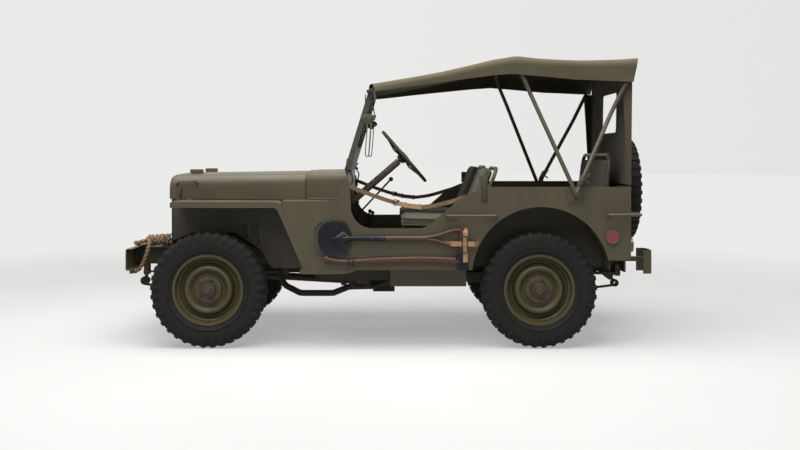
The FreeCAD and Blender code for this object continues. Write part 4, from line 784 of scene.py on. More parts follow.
def make_roof():
    """The roof cloth with its hems, seams, chafe bands and turned-down front edge."""
    alongs, acrosses = steps(0, 1, 121), steps(-1, 1, 121)
    rows = [[roof_place(a, c) for c in acrosses] for a in alongs]
    roof, width, length = canvas("roof_canvas", rows, 1.8, "canopy_top")
    for side, label in SIDES:
        for strip, first, last, count, lift in (("hem_", 0.999, 0.962, 4, 1.7), ("seam_", 0.80, 0.785, 3, 1.6),
                ("panel_seam_", 0.31, 0.295, 3, 1.6)):
            roof_strip(strip + label, alongs, [side * q for q in steps(first, last, count)], lift)
    for label, first, last in (("front", 0.0, 0.026), ("bow", 0.518, 0.565), ("back", 0.968, 1.0)):
        roof_strip("band_" + label, steps(first, last, 6), steps(-0.998, 0.998, 121), 1.5)
    # the front edge is turned down over the windscreen's top rail: first above the rail, then at a set level
    turned = []
    for station, drop, level in ((1011, 2.0, None), (1002, 1.6, None), (994, -3.0, None), (988.5, 0, 1614),
            (987, 0, 1604), (985.5, 0, 1594)):
        row = []
        for y in steps(-606, 606, 81):
            top = 1624 + 8 * (1 - (y / 611) ** 2) + drop if level is None else level
            row.append(spot(station + noise.noise(Vector((y / 60, top / 30, 5.0))) * 1.2, y, top))
        turned.append(row)
    canvas("roof_front_flap", turned, 1.6)[0]
    plain = [[roof_place(a, c, ripple=0.0) for c in acrosses] for a in alongs]


WINDOW = (0.215, 1.330, 1.600, 0.030)  # half width, foot, head and corner of the rear window


def curtain_place(side, high):
    """A place on the rear curtain, in metres."""
    share = (high - 0.999) / 0.775
    station = 2609.0 + 9.0 * share
    free = min(1.0, max(0.0, (0.63 - abs(side)) / 0.12))
    folds = noise.noise(Vector((side * 6.0, high * 1.1, 4.0))) * 7.0 + math.sin(side * 31 + high * 2.0) * 1.6
    near_window = math.hypot(max(0.0, abs(side) - WINDOW[0]), max(0.0, abs(high - 1.465) - 0.135))
    calm = min(1.0, near_window / 0.09)
    sag = -5.0 * math.sin(math.pi * share)
    place = spot(station, side * 1000, high * 1000)
    place.x += (folds * free * (0.25 + 0.75 * calm) * min(1.0, (1 - share) * 5) + sag) / 1000
    return place


def window_edge(side, high):
    """The nearest place on the rounded outline of the window."""
    half, foot, head, corner = WINDOW
    middle = (foot + head) / 2
    p = Vector((side, high - middle))
    inner = Vector((half - corner, (head - foot) / 2 - corner))
    q = Vector((max(-inner.x, min(inner.x, p.x)), max(-inner.y, min(inner.y, p.y))))
    away = p - q
    if away.length < 1e-6:
        reach = (inner.x + corner - abs(p.x), inner.y + corner - abs(p.y))
        if reach[0] < reach[1]:
            return math.copysign(half, p.x), high
        return side, middle + math.copysign((head - foot) / 2, p.y)
    away = away.normalized() * corner
    return q.x + away.x, q.y + away.y + middle


def make_curtains():
    """The rear curtain with its window, and the narrow quarter pieces beside it."""
    columns, heights = steps(-0.616, 0.616, 101), steps(1.000, 1.772, 63)
    rows = [[curtain_place(y, z) for y in columns] for z in heights]
    rear, width, length = cloth_grid("rear_curtain", rows, 0)
    only(rear)
    work = bmesh.new()
    work.from_mesh(rear.data)
    half, foot, head, corner = WINDOW

    def inside(v):
        edge = window_edge(v.y, v.z)[0]
        return abs(v.y) < half and foot < v.z < head and abs(v.y) <= abs(edge) + 1e-6

    cut_out = [f for f in work.faces if inside(f.calc_center_median())]
    bmesh.ops.delete(work, geom=cut_out, context="FACES")
    for v in work.verts:
        if v.is_boundary and abs(v.co.y) < half + 0.02 and foot - 0.02 < v.co.z < head + 0.02:
            v.co = curtain_place(*window_edge(v.co.y, v.co.z))
    work.to_mesh(rear.data)
    work.free()
    apply_modifier(rear, "SOLIDIFY", thickness=0.0018, offset=0.0)
    finish_piece(rear, "car", "canopy", angle=60, replaces="canopy_curtains")
    # a sewn binding round the window, with rounded corners
    rim = []
    for reach in (-0.004, 0.010, 0.026):
        loop = []
        for corner_y, corner_z, first in ((half - corner, head - corner, 0), (corner - half, head - corner, 90),
                (corner - half, foot + corner, 180), (half - corner, foot + corner, 270)):
            for turn in range(first, first + 91, 15):
                a = math.radians(turn)
                loop.append(curtain_place(corner_y + (corner + reach) * math.cos(a),
                        corner_z + (corner + reach) * math.sin(a)))
        loop.append(loop[0])
        rim.append(loop)
    binding = canvas("window_binding", rim, 5.0)[0]
    hem = canvas("rear_curtain_hem", [[curtain_place(y, z) for y in columns] for z in steps(1.001, 1.04, 4)], 5.0)[0]

    for side, label in SIDES:
        rows = []
        for z in steps(1.000, 1.630, 34):
            share = (z - 1.0) / 0.63
            front = 2588 - 34 * share ** 1.3
            back = 2609 + 9 * (z - 0.999) / 0.775
            rows.append([spot(s, side * (615.4 + 1.2 * math.sin(share * 9 + s / 30) - 1.2), z * 1000)
                    for s in steps(front, back, 6)])
        strip, width, length = canvas("quarter_" + label, rows, 1.8)
        folded = [[p, p + (q - p) * 0.6, q * 0.1 + p * 0.9 + (q - p) * 1.2] for p, q in (row[:2] for row in rows)]
        edge = canvas("quarter_hem_" + label, folded, 4.6)[0]


# ---------------------------------------------------------------- wheels and tyres

TYRE_SECTION = [(-57, 206), (-62, 224), (-70, 238), (-76, 258), (-78.5, 280), (-77, 302), (-73, 322), (-66, 338),
                (-56, 346), (-30, 348.5), (0, 349), (30, 348.5), (56, 346), (66, 338), (73, 322), (77, 302),
                (78.5, 280), (76, 258), (70, 238), (62, 224), (57, 206), (30, 205), (-30, 205)]
LUG_LINE = [(5, 357), (30, 356.6), (58, 354), (71, 344), (78, 330), (80, 314), (80.5, 300)]
LUGS = 37


def make_tyre(name, centre, axis, body, replaces):
    """Bar-tread military tyre: a body spun from its section, and two rows of chunky lugs set half a pitch apart."""
    casing = spun(name, TYRE_SECTION, centre, axis, steps=96)
    ribs = [spun(name + "_rib", [(side * 74.5, 240), (side * 79, 243), (side * 79.4, 246), (side * 78, 250)], centre,
            axis, steps=96) for side in (-1, 1)]
    middle, spindle = spot(*centre), Vector(axis)
    round_way = spindle.cross(UP)
    rows = []
    for side in (-1, 1):
        def lug_place(step, row):
            along, radius = LUG_LINE[step]
            half = (13.5 if step < 5 else 9.5) - (1.5 if step == 0 else 0)
            return (middle + spindle * side * along / 1000 + UP * radius / 1000
                    + round_way * (half if row else -half) / 1000)

        lug = faced_out(shaped_grid(name + "_lug", len(LUG_LINE), 2, lug_place))
        facing = lug.data.polygons[0].normal.dot(UP)
        apply_modifier(lug, "SOLIDIFY", thickness=0.013, offset=-1.0 if facing > 0 else 1.0)
        round_edges(lug, 1.8, 1, 50)
        rows.append(turned_copies(lug, LUGS, centre, axis, start=math.pi / LUGS if side > 0 else 0.0))
    whole = join(name, [casing] + ribs + rows)
    return finish_piece(whole, body, "rubber", angle=35, replaces=replaces)


# the pressed wheel, from the inner flange round the outer face to the hub (outwards, radius)
WHEEL_SECTION = [(-64, 219), (-61, 220), (-59, 217), (-59, 207), (-32, 204), (-20, 183), (16, 183), (30, 204),
                 (58, 207), (59, 216), (61.5, 219), (64, 217), (63, 203), (57, 200.5), (34, 198), (10, 186),
                 (0, 172), (2, 163), (14, 156), (32, 150), (44, 144), (49, 136), (48, 126), (40, 115), (28, 106),
                 (20, 98), (20, 90), (28, 86), (36, 82), (38, 70), (38, 55), (34, 50), (20, 50), (14, 92), (20, 106),
                 (32, 118), (41, 130), (41, 138), (30, 145), (10, 152), (-4, 160), (-7, 172), (-10, 178), (-20, 178),
                 (-34, 199), (-58, 202), (-63, 206)]


def make_wheel(name, centre, axis, out, body, replaces):
    """Disc wheel with its raised ring, five nuts, hub flange with bolts, cap and valve."""
    spindle = Vector(axis) * out
    disc = spun(name, WHEEL_SECTION, centre, spindle, steps=96)
    cap = spun(name + "_cap", [(30, 1), (30, 54), (44, 54), (44, 47), (50, 46), (58, 45), (64, 42), (66, 30), (72, 27),
            (78, 24), (80, 14), (80, 1)], centre, spindle, steps=48)

    def stud(label, ring, low, high, radius, sides):
        """A straight piece parallel to the axle, from low to high outwards."""
        foot = Vector(centre) + UP * ring
        return bar(name + "_" + label, foot + spindle * low, foot + spindle * high, radius, sides)

    parts = [cap]
    for label, ring, count, radius, low, high in (("nut", 70, 5, 11.5, 34, 56), ("bolt", 36, 6, 5.2, 60, 71)):
        nut = stud(label, ring, low, high, radius, 6)
        round_edges(nut, 1.2, 1, 50)
        parts.append(turned_copies(nut, count, centre, axis, start=0.3))
    valve = stud("valve", -186, 35, 69, 4, 12)
    finish_piece(join(name + "_hub", parts), body, "hub", angle=30)
    return finish_piece(join(name, [disc, valve]), body, "wheel", angle=30, replaces=replaces)


def make_running_gear():
    """Four road wheels and the spare, each with its tyre."""
    for end, station in (("front", 0), ("rear", WHEELBASE)):
        for side, label in SIDES:
            place = "%s_%s" % (end, label)
            centre = (station, side * HALF_TRACK, AXLE_HEIGHT)
            make_tyre("bar_tyre_" + place, centre, (0, 1, 0), "wheel_" + place, "tyre_" + place)
            make_wheel("disc_wheel_" + place, centre, (0, 1, 0), side, "wheel_" + place, "wheel_" + place)
    make_tyre("bar_tyre_spare", SPARE_CENTRE, (1, 0, 0), "car", "spare_tyre")
    make_wheel("disc_wheel_spare", SPARE_CENTRE, (1, 0, 0), 1, "car", "spare_wheel")


# ---------------------------------------------------------------- more shapes

def plate(name, outline, low, high, way="y"):
    """A flat piece from an outline of (station, height), or (side, height) for way x, between two depths."""
    only(None)
    bpy.ops.mesh.primitive_circle_add(vertices=len(outline), radius=0.01, fill_type="NGON", location=(0, 0, 0))
    piece = named(name)
    for vertex, (a, b) in zip(piece.data.vertices, outline):
        vertex.co = spot(a, low, b) if way == "y" else spot(low, a, b)
    bpy.ops.object.mode_set(mode="EDIT")
    bpy.ops.mesh.select_all(action="SELECT")
    move = (0, (high - low) / 1000, 0) if way == "y" else ((high - low) / 1000, 0, 0)
    bpy.ops.mesh.extrude_region_move(TRANSFORM_OT_translate={"value": move})
    return faced_out(piece)


def oval(station, high, long, tall):
    """Outline of a plate with round ends, longer than it is tall."""
    rows = []
    for i in range(20):
        a = math.tau * i / 20
        rows.append((station + math.copysign(max(0, long - tall) / 2, math.cos(a)) + tall / 2 * math.cos(a),
                high + tall / 2 * math.sin(a)))
    return rows


def line_through(places, spacing=6.0):
    """A smooth line through the given places (three numbers each), at about even spacing."""
    knots = [Vector(p) for p in places]
    ends = [2 * knots[0] - knots[1]] + knots + [2 * knots[-1] - knots[-2]]
    made = []
    for a, b, c, d in zip(ends, ends[1:], ends[2:], ends[3:]):
        count = max(2, round((c - b).length / spacing))
        for i in range(count):
            t = i / count
            made.append(0.5 * (2 * b + (c - a) * t + (2 * a - 5 * b + 4 * c - d) * t * t
                    + (3 * b - a - 3 * c + d) * t ** 3))
    return made + [knots[-1]]


# ---------------------------------------------------------------- cushions

def swell(piece, cap):
    """Fills a closed cloth form with air; no point moves further than the cap, in metres."""
    before = [v.co.copy() for v in piece.data.vertices]
    only(piece)
    cloth = piece.modifiers.new("cloth", "CLOTH")
    cloth.settings.use_pressure = True
    cloth.settings.uniform_pressure_force = 4.0
    cloth.settings.effector_weights.gravity = 0.0
    cloth.settings.quality = 4
    cloth.settings.bending_stiffness = 0.3
    cloth.point_cache.frame_start, cloth.point_cache.frame_end = 1, 20
    for step in range(1, 21):
        bpy.context.scene.frame_set(step)
    bpy.ops.object.modifier_apply(modifier=cloth.name)
    bpy.context.scene.frame_set(1)
    for vertex, old in zip(piece.data.vertices, before):
        move = vertex.co - old
        if move.length > cap:
            vertex.co = old + move * (cap / move.length)


def pad(name, size, turn, centre, cap):
    """A stuffed pad of (depth, width, height) in millimetres with piping round both of its broad faces."""
    only(None)
    small = [q / 1000 - 0.013 for q in size]
    bpy.ops.mesh.primitive_cube_add(size=1.0, location=(0, 0, 0), scale=small)
    piece = settled(named(name))
    apply_modifier(piece, "BEVEL", width=0.016, segments=3)
    apply_modifier(piece, "REMESH", mode="VOXEL", voxel_size=0.006)
    swell(piece, cap)
    apply_modifier(piece, "SUBSURF", levels=1, render_levels=1)
    skin = BVHTree.FromPolygons([v.co for v in piece.data.vertices], [p.vertices for p in piece.data.polygons])
    thin = min(range(3), key=lambda q: size[q])
    wide = [q for q in range(3) if q != thin]
    half = [q / 2000 for q in size]
    whole_turn = Matrix.Translation(spot(*centre)) @ Matrix.Rotation(math.radians(turn), 4, "Y")
    lines = []
    for face in (-1, 1):
        rim = []
        for i in range(72):
            a = math.tau * i / 72
            place = Vector((0, 0, 0))
            for q, part in zip(wide, (math.cos(a), math.sin(a))):
                place[q] = math.copysign(abs(part) ** 0.28, part) * (half[q] + 0.004)
            place[thin] = face * (half[thin] - 0.013)
            rim.append(skin.find_nearest(place)[0])
        lines.append(tube(name + "_piping", rim, 4.2, closed=True, smooth=3, facets=2))
    whole = join(name, [piece] + lines)
    whole.data.transform(whole_turn)
    return whole


def finish_pad(piece):
    finish_piece(piece, "car", "seat", angle=0, replaces="seat_cushions")


def make_cushions():
    """Two front seats alike, and the rear bench."""
    squab = pad("driver_squab", (392, 450, 75), 1.75, (1376, -395, 767), 0.008)
    rest = pad("driver_rest", (60, 450, 316), 21.2, (1678, -395, 963), 0.008)
    for piece, twin_name in ((squab, "mate_squab"), (rest, "mate_rest")):
        twin = shifted_copy(piece, twin_name, (0, 770, 0))
        finish_pad(piece)
        finish_pad(twin)
    finish_pad(pad("bench_squab", (400, 860, 70), 0, (2210, 0, 755), 0.008))
    finish_pad(pad("bench_back", (45, 846, 334), 5.8, (2502.5, 0, 995), 0.006))


# ---------------------------------------------------------------- straps and rope

def ribbon(name, places, way, width, thick, finish, rests):
    """A webbing or leather strap along a smooth line of places; way is the direction of its width.
    Gives the piece, its width and length in metres and what it rests on."""
    path = line_through(places, 8.0)
    wide = Vector(way).normalized() * width / 2
    rows = []
    for i, p in enumerate(path):
        along = (path[min(i + 1, len(path) - 1)] - path[max(i - 1, 0)]).normalized()
        across = (wide - along * wide.dot(along)).normalized() * width / 2
        rows.append([spot(*(p + across * t)) for t in (-1, -0.5, 0, 0.5, 1)])
    piece, across, length = cloth_grid(name, rows, thick)
    finish_piece(piece, "car", finish, angle=50)
    return piece, across, length, rests


def declare_ribbon(replaced=()):
    if replaced:
        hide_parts(*replaced)


def wire_loop(name, centre, long, tall, radius, finish="iron"):
    """A rectangular wire loop such as a buckle."""
    a, b = long / 2, tall / 2
    corners = [(-a, -b), (a, -b), (a, b), (-a, b)]
    points = []
    for (p, q), (r, s) in zip(corners, corners[1:] + corners[:1]):
        points += [(p + (r - p) * t, q + (s - q) * t) for t in (0.12, 0.5, 0.88)]
    s0, y0, z0 = centre
    places = [(s0 + p, y0, z0 + q) for p, q in points]
    return finish_piece(bent_bar(name, places, radius, closed=True, smooth=4), "car", finish)


STRAP_LINE = [(856, 1000), (900, 983), (952, 962), (1050, 926), (1155, 893), (1230, 877), (1303, 869), (1400, 880),
              (1477, 899), (1570, 927), (1676, 954)]


def make_straps():
    """Door straps with their buckles, the straps round the tools and the guard of the shovel's blade."""
    for side, label in SIDES:
        y = side * 725.2  # just outside the door openings
        line = [(s, y, z) for s, z in STRAP_LINE]
        strap = ribbon("door_webbing_" + label, line, (0, 0, 1), 25, 2.4, "webbing", ["cowl", "side_panel_" + label])
        doubled = ribbon("strap_chape_" + label, [(s, y + side * 2.9, z) for s, z in STRAP_LINE[4:7]], (0, 0, 1), 28,
                2.6, "strap" if side < 0 else "webbing", [strap[0].name])[0]
        buckle = wire_loop("strap_buckle_" + label, (1148, y + side * 3.4, 896), 22, 36, 2.0)
        keepers = [wire_loop("strap_keeper_%s_%d" % (label, i), (s, y + side * 1.4, z), 9, 34, 2.2, finish="strap")
                for i, (s, z) in enumerate(((1212, 880), (1300, 869.5)))]
        tab = finish_piece(block("strap_stud_%s" % label, (1160, min(y, y + side * 8), 903),
                (1174, max(y, y + side * 8), 911)), "car", "iron", bevel=2)
        declare_ribbon(["door_straps"] if side < 0 else ())
    # the tool straps on the left side
    skin, over = -730.5, -766.2  # the body's side, and a strap that lies over the tools
    upright = ribbon("tool_strap_upright",
            [(1572, skin - 1.4, 742), (1572, skin - 1.5, 734), (1572, over + 12, 727), (1572, over, 712),
            (1572, over, 650), (1572, over, 600), (1572, over - 0.4, 560), (1572, over + 0.2, 536)], (1, 0, 0), 29, 2.8,
            "strap", ["side_panel_left"])
    level = ribbon("tool_strap_level", [(1446, skin - 1.4, 648), (1462, skin - 1.5, 648), (1482, over + 12, 648),
            (1500, over - 3.2, 648), (1566, over - 3.4, 648), (1622, over - 3.2, 647), (1636, over + 12, 646),
            (1645, skin - 1.5, 645), (1654, skin - 1.4, 645)], (0, 0, 1), 30, 2.8, "strap", ["side_panel_left"])
    loops = [wire_loop("strap_loop", (1568, over - 6.2, 645), 30, 98, 2.8),
            finish_piece(bent_bar("strap_lace", [(1553, over - 8, 690), (1546, over - 6, 650), (1556, over - 8.5, 600)],
                2.4), "car", "iron")]
    declare_ribbon()
    declare_ribbon()
    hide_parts("tool_straps")
    guard = plate("blade_guard", [(706, 786), (684, 781), (666, 764), (655, 742), (650, 712), (648, 680), (650, 648),
            (655, 620), (666, 597), (684, 580), (706, 574), (710, 580), (690, 586), (673, 602), (662, 623), (657, 650),
            (655, 680), (657, 710), (662, 738), (673, 758), (690, 775), (710, 780)], -739.5, -SKIN)
    finish_piece(guard, "car", "olive", bevel=1.2)


def rope_strands(name, path, radius):
    """Twisted strands round a path, as one mesh."""
    strands, lay = 3, 3.2  # lay: length of one twist, in diameters of the rope
    inner, strand = radius * 0.5, radius * 0.52
    frames, up = [], Vector((0, 0, 1))
    for i, p in enumerate(path):
        along = (path[min(i + 1, len(path) - 1)] - path[max(i - 1, 0)]).normalized()
        up = (up - along * up.dot(along)).normalized()
        frames.append((p, along, up, along.cross(up)))
    reach = reaches(path)
    vertices, faces, sides = [], [], 8
    for k in range(strands):
        first = len(vertices)
        for (p, along, up, out), s in zip(frames, reach):
            a = math.tau * (k / strands + s / (lay * 2 * radius))
            middle = p + (up * math.cos(a) + out * math.sin(a)) * inner
            for j in range(sides):
                b = math.tau * j / sides
                vertices.append(middle + (up * math.cos(b) + out * math.sin(b)) * strand)
        for i in range(len(path) - 1):
            for j in range(sides):
                q = first + i * sides
                faces.append((q + j, q + (j + 1) % sides, q + sides + (j + 1) % sides, q + sides + j))
        faces.append(tuple(first + j for j in reversed(range(sides))))
        faces.append(tuple(first + (len(path) - 1) * sides + j for j in range(sides)))
    mesh = bpy.data.meshes.new(name)
    mesh.from_pydata([tuple(v) for v in vertices], [], faces)
    return faced_out(linked(name, mesh))


def make_rope():
    """A hank of manila rope on the bumper's left end: four runs, lashed round with turns, its tail hooked below."""
    thick = 25.0
    runs = []
    for near, far, drop in ((-352, -402, 0), (-377, -426, 3)):
        runs += [(-318, near, 640 - drop), (-390, near - 2, 641), (-450, near + 1, 636), (-492, near - 4, 624),
                (-511, (near + far) / 2, 619 + drop * 2), (-494, far + 3, 623), (-446, far, 637), (-384, far + 2, 640),
                (-326, far, 641), (-303, far + 14, 644)]
    places = runs[:-1] + [(-300, -416, 640)]
    turns, count = 5.4, 66
    for i in range(count + 1):
        share = i / count
        a = math.tau * turns * share - math.pi / 2
        side, high = math.sin(a), math.cos(a)
        square = max(abs(side), abs(high)) ** 0.45
        uneven = 2.2 * math.sin(a * 0.37 + 1.0)
        places.append((-304 - 122 * share + 17 * side + 4.0 * math.sin(a * 0.7), -389 - 60 * side / square + uneven,
                643.5 + (25.5 - 5 * share) * high / square - 2 * share))
    places += [(-424, -452, 652), (-406, -484, 648), (-392, -522, 636), (-393, -552, 606), (-405, -568, 560),
            (-424, -574, 508), (-446, -577, 473), (-472, -579, 460), (-502, -581, 458)]
    path = [spot(*p) for p in line_through(places, 4.0)]
    rope = rope_strands("manila_rope", path, thick / 2000)
    finish_piece(rope, "car", "rope", angle=0, replaces="rope_hank")


# ---------------------------------------------------------------- tools on the left side

def make_tools():
    """Shovel and axe strapped to the left side, both in one upright plane."""
    y, level = -747.3, 680  # their plane, and the shovel's middle line
    # half width of the blade from its point to its shoulder
    edge = [(677, 8), (679, 26), (684, 46), (694, 66), (710, 84), (732, 97), (758, 103), (790, 104), (820, 102),
            (838, 98), (852, 84), (864, 60), (874, 36), (884, 18)]

    def blade_place(column, row):
        station, half = edge[column]
        t = row / 8 - 1
        dish = 13 * abs(t) ** 2.2 * min(1.0, half / 60) - 9 * math.exp(-(t / 0.2) ** 2) * max(0.0,
                (station - 720) / 164)
        dish += 4 * max(0.0, (760 - station) / 83) ** 2
        return spot(station, y + 6 - dish, level + half * 1.03 * t)

    blade = shaped_grid("shovel_blade", len(edge), 17, blade_place)
    apply_modifier(blade, "SOLIDIFY", thickness=0.0022, offset=0.0)
    apply_modifier(blade, "SUBSURF", levels=1, render_levels=1)
    treads = [bent_bar("tread", [(838, y - 5, level + way * 98), (854, y - 6, level + way * 82),
            (868, y - 5, level + way * 54), (880, y - 4, level + way * 26)], 3.4) for way in (-1, 1)]
    socket = bar("socket", (846, y, level), (1088, y, level), 12.5, 24, taper=17)
    frog = bar("frog", (752, y - 2, level), (856, y - 1, level), 3, 20, taper=12.5)
    ring = bar("ferrule", (1070, y, level), (1090, y, level), 18.2, 24)
    rivets = [bar("rivet", (s, y - 19.5, level), (s, y + 19.5, level), 4.2, 12) for s in (1010, 1058)]
    fold = plate("fold", [(752, 680), (792, 693), (832, 722), (846, 709), (872, 696), (902, 693), (902, 667),
            (872, 664), (846, 650), (832, 636), (792, 667)], y - 9, y + 1)
    for vertex in fold.data.vertices:
        if vertex.co.y * 1000 < y - 5:
            vertex.co.z = level / 1000 + (vertex.co.z - level / 1000) * 0.55
            vertex.co.x += 0.008 if vertex.co.x < spot(800, 0, 0).x else 0.0
    treads.append(fold)
    finish_piece(join("shovel_steel", [blade, socket, frog, ring] + treads + rivets), "car", "tool", angle=45,
            replaces="shovel")
    shaft = bent_bar("shaft", [(1086, y, level), (1180, y, 681), (1290, y, level), (1345, y, level)], 15.5)
    arms = [bent_bar("arm", [(1300, y, level + way * 3), (1370, y, level + way * 8), (1430, y, level + way * 24),
            (1490, y, level + way * 47), (1530, y, level + way * 51), (1556, y, level + way * 51)], 10.5)
            for way in (-1, 1)]
    grip = bar("grip", (1551, y, 612), (1551, y, 748), 13.5, 24)
    finish_piece(join("shovel_handle", [shaft, grip] + arms), "car", "ash", angle=45)
    handle = tapered_form("axe_handle",
            [(716, y, 554, 1, 1), (717, y, 554, 7, 13), (722, y, 554, 9, 19), (732, y, 552, 10, 21),
            (744, y, 549, 10.5, 18), (762, y, 546, 11, 14), (800, y, 541, 11, 12), (850, y, 538.5, 11, 12),
            (900, y, 540, 11, 13), (960, y, 543, 11, 14.5), (1040, y, 547, 11, 16), (1120, y, 550, 11, 17),
            (1200, y, 552, 11, 18), (1290, y, 552.5, 11, 18.5), (1380, y, 551, 11, 18.5), (1450, y, 548, 11, 19),
            (1500, y, 545, 11.5, 20), (1530, y, 543, 11.5, 21), (1552, y, 542, 11, 20), (1553, y, 542, 1, 1)])
    finish_piece(handle, "car", "ash", angle=45, replaces="axe")
    head = plate("axe_head", [(1512, 580), (1530, 583), (1549, 580), (1552, 562), (1558, 549), (1574, 545), (1590, 544),
            (1592, 520), (1594, 498), (1592, 487), (1556, 484), (1524, 487), (1520, 498), (1521, 520), (1520, 545),
            (1513, 560)], y - 15, y + 15)
    for vertex in head.data.vertices:
        drop = min(1.0, max(0.0, (0.560 - vertex.co.z) / 0.076))
        vertex.co.y = y / 1000 + (vertex.co.y - y / 1000) * (1 - 0.86 * drop)
    finish_piece(head, "car", "tool", bevel=1.6)
    clamp = bent_bar("axe_clamp", [(866, -731, 571), (866, -748, 572), (866, -764, 562), (866, -768, 540),
            (866, -764, 517), (866, -748, 508), (866, -731, 509)], 3.6)
    clamp_two = bent_bar("axe_clamp_two",
            [(893, -731, 562), (893, -750, 568), (893, -766, 556), (893, -768, 538), (893, -760, 520), (893, -746, 512),
            (893, -731, 512)], 3.2)
    finish_piece(join("axe_clamp", [clamp, clamp_two]), "car", "iron")


# ---------------------------------------------------------------- body fittings

class Side:
    """Makes pieces on one side of the car, from places given for the right side."""

    def __init__(self, sign, label):
        self.sign, self.label = sign, label

    def at(self, place):
        return (place[0], self.sign * place[1], place[2])

    def box(self, name, low, high):
        return block(name, self.at(low), self.at(high))

    def rod(self, name, start, end, radius, sides=20):
        return bar(name, self.at(start), self.at(end), radius, sides)

    def wire(self, name, places, radius):
        return bent_bar(name, [self.at(place) for place in places], radius)

    def bolt(self, name, centre, radius, high, sides=6):
        s, y, z = centre
        return self.rod(name, centre, (s, y + high, z), radius, sides)

    def panel(self, name, outline, low, high):
        return plate(name, outline, self.sign * low, self.sign * high)

    def ring(self, name, section, centre, steps):
        return spun(name, section, self.at(centre), (0, self.sign, 0), steps)

    def finish(self, name, pieces, finish, bevel=0.0, angle=32):
        """Joins the pieces into one that rides with the car's body."""
        finish_piece(join("%s_%s" % (name, self.label), pieces), "car", finish, bevel, angle)


def make_fittings():
    """Catches, cowl moulding, windscreen fittings, louvres, bow pivots and reflector rims."""
    for side, label in SIDES:
        on = Side(side, label)

        # bonnet catch: base on the fender, hook and its horizontal handle
        parts = [on.box("base", (-236, 428, 900.3), (-204, 452, 906)),
                on.box("hook_plate", (-230, 424, 912), (-210, 432, 992)),
                on.wire("hook", [(-220, 440, 904), (-220, 446, 925), (-220, 441, 960), (-220, 434, 985),
                    (-220, 424, 990)], 4.5),
                on.wire("handle", [(-238, 424, 1003), (-240, 438, 1008), (-215, 444, 1016), (-160, 448, 1015),
                    (-118, 452, 1020), (-106, 446, 1010), (-104, 438, 996)], 4.2),
                on.box("plate_a", (-248, 420, 994), (-226, 427, 1012)),
                on.box("plate_b", (-116, 434, 986), (-94, 441, 1004))]
        on.finish("bonnet_catch", parts, "screen", 0.8)
        # moulding along the foot of the cowl, and the plate at its front end
        moulding = on.wire("moulding", [(602, 559, 909), (640, 580, 910), (700, 615, 910), (756, 648, 911),
                (795, 673, 921), (820, 690, 945), (834, 700, 974)], 9.0)
        foot = on.panel("foot", oval(606, 916, 26, 22), 557, 563)
        on.finish("cowl_moulding", [moulding, foot], "screen")
        # mounting plates of the side handle
        for i, s in enumerate((1490, 1732)):
            shoe = on.panel("shoe", oval(s, 810, 78, 36), SKIN, 734)
            heads = [on.bolt("head", (s + d, 734, 810), 4, 3, 12) for d in (-26, 26)]
            finish_piece(join("handle_plate_%s_%d" % (label, i), [shoe] + heads), "car", "olive", bevel=0.8)
        # windscreen: upper latch, adjusting bracket, slotted stay and the pivot at its foot
        y = 612  # the windscreen's side member
        latch = [on.box("latch", (972, y - 8, 1570), (1004, y + 14, 1588)),
                on.wire("strap", [(985, y + 10, 1580), (1000, y + 12, 1540), (1004, y + 10, 1500), (1012, y + 6, 1470)],
                    4.0),
                on.box("eye", (1004, y + 2, 1462), (1018, y + 14, 1480)),
                on.wire("wire", [(966, y + 12, 1560), (962, y + 14, 1530), (968, y + 10, 1500)], 3.0)]
        on.finish("screen_latch", latch, "iron", 1)
        bracket = [on.panel("bracket", [(936, 1432), (958, 1440), (1010, 1436), (1028, 1420), (1024, 1402),
                    (1006, 1392), (994, 1376), (972, 1378), (952, 1392), (934, 1400)], y - 6, y + 4),
                on.bolt("bolt", (1006, y + 4, 1416), 8, 8),
                on.bolt("bolt", (962, y + 4, 1414), 7, 8)]
        on.finish("screen_bracket", bracket, "olive", 1)
        stay = on.wire("stay", [(1000, y, 1388), (998, y, 1330), (990, y, 1230), (986, y, 1184), (976, y, 1172),
                (964, y, 1182), (966, y, 1230), (974, y, 1330), (978, y, 1388)], 3.6)
        finish_piece(stay, "car", "bright")
        pivot = [on.rod("pin", (862, 640, 1100), (862, 706, 1100), 9, 16),
                on.wire("arm", [(862, 690, 1100), (850, 690, 1128), (858, 668, 1160)], 7),
                on.box("lug", (846, 676, 1078), (884, 700, 1094)),
                on.wire("wing", [(884, 700, 1128), (872, 706, 1112), (866, 706, 1100), (858, 706, 1086),
                    (846, 702, 1072)], 4.6),
                on.wire("hose", [(872, 690, 1076), (892, 694, 1050), (886, 700, 1018), (872, 704, 990),
                    (878, 700, 955)], 5.0),
                on.bolt("nut", (862, 706, 1100), 13, 9)]
        on.finish("screen_pivot", pivot, "iron", 0.8)
        # louvres in the apron over the wheel: their slots are near-black boxes, painted shade standing for the dark
        # openings
        slot_shades, ribs = [], []
        for s in (222, 298):
            wall = 415 + (s + 269) / 861 * 128  # the apron's distance from the middle
            foot = 704 - (s - 158) * 0.625  # its lower edge
            slot_shades.append(on.box("slat", (s - 12, wall - 2, foot + 4), (s + 12, wall + 2, 742)))
            ribs.append(on.box("rib", (s - 18, wall - 2, foot), (s - 12, wall + 8, 748)))
        on.finish("apron_slot_shades", slot_shades, "grip", 1)
        on.finish("apron_ribs", ribs, "chassis", 2)
        # pivot bolts of the canopy bows
        wing = [on.bolt("nut", (2240, 783, 956), 13, 9),
                on.wire("wing", [(2226, 786, 984), (2236, 791, 966), (2240, 791, 956), (2246, 791, 946),
                    (2254, 786, 930)], 4.0),
                on.bolt("low_bolt", (2240, 736, 912), 8, 6)]
        on.finish("bow_pivot_nut", wing, "olive", 0.8)
        # lens rim of the reflector
        finish_piece(on.ring("rim", [(0.3, 41), (14, 43), (16, 41), (14, 38), (12.2, 38), (12.2, 40.3), (0.3, 40.3)],
                (2467, 730, 689), 40), "car", "olive")


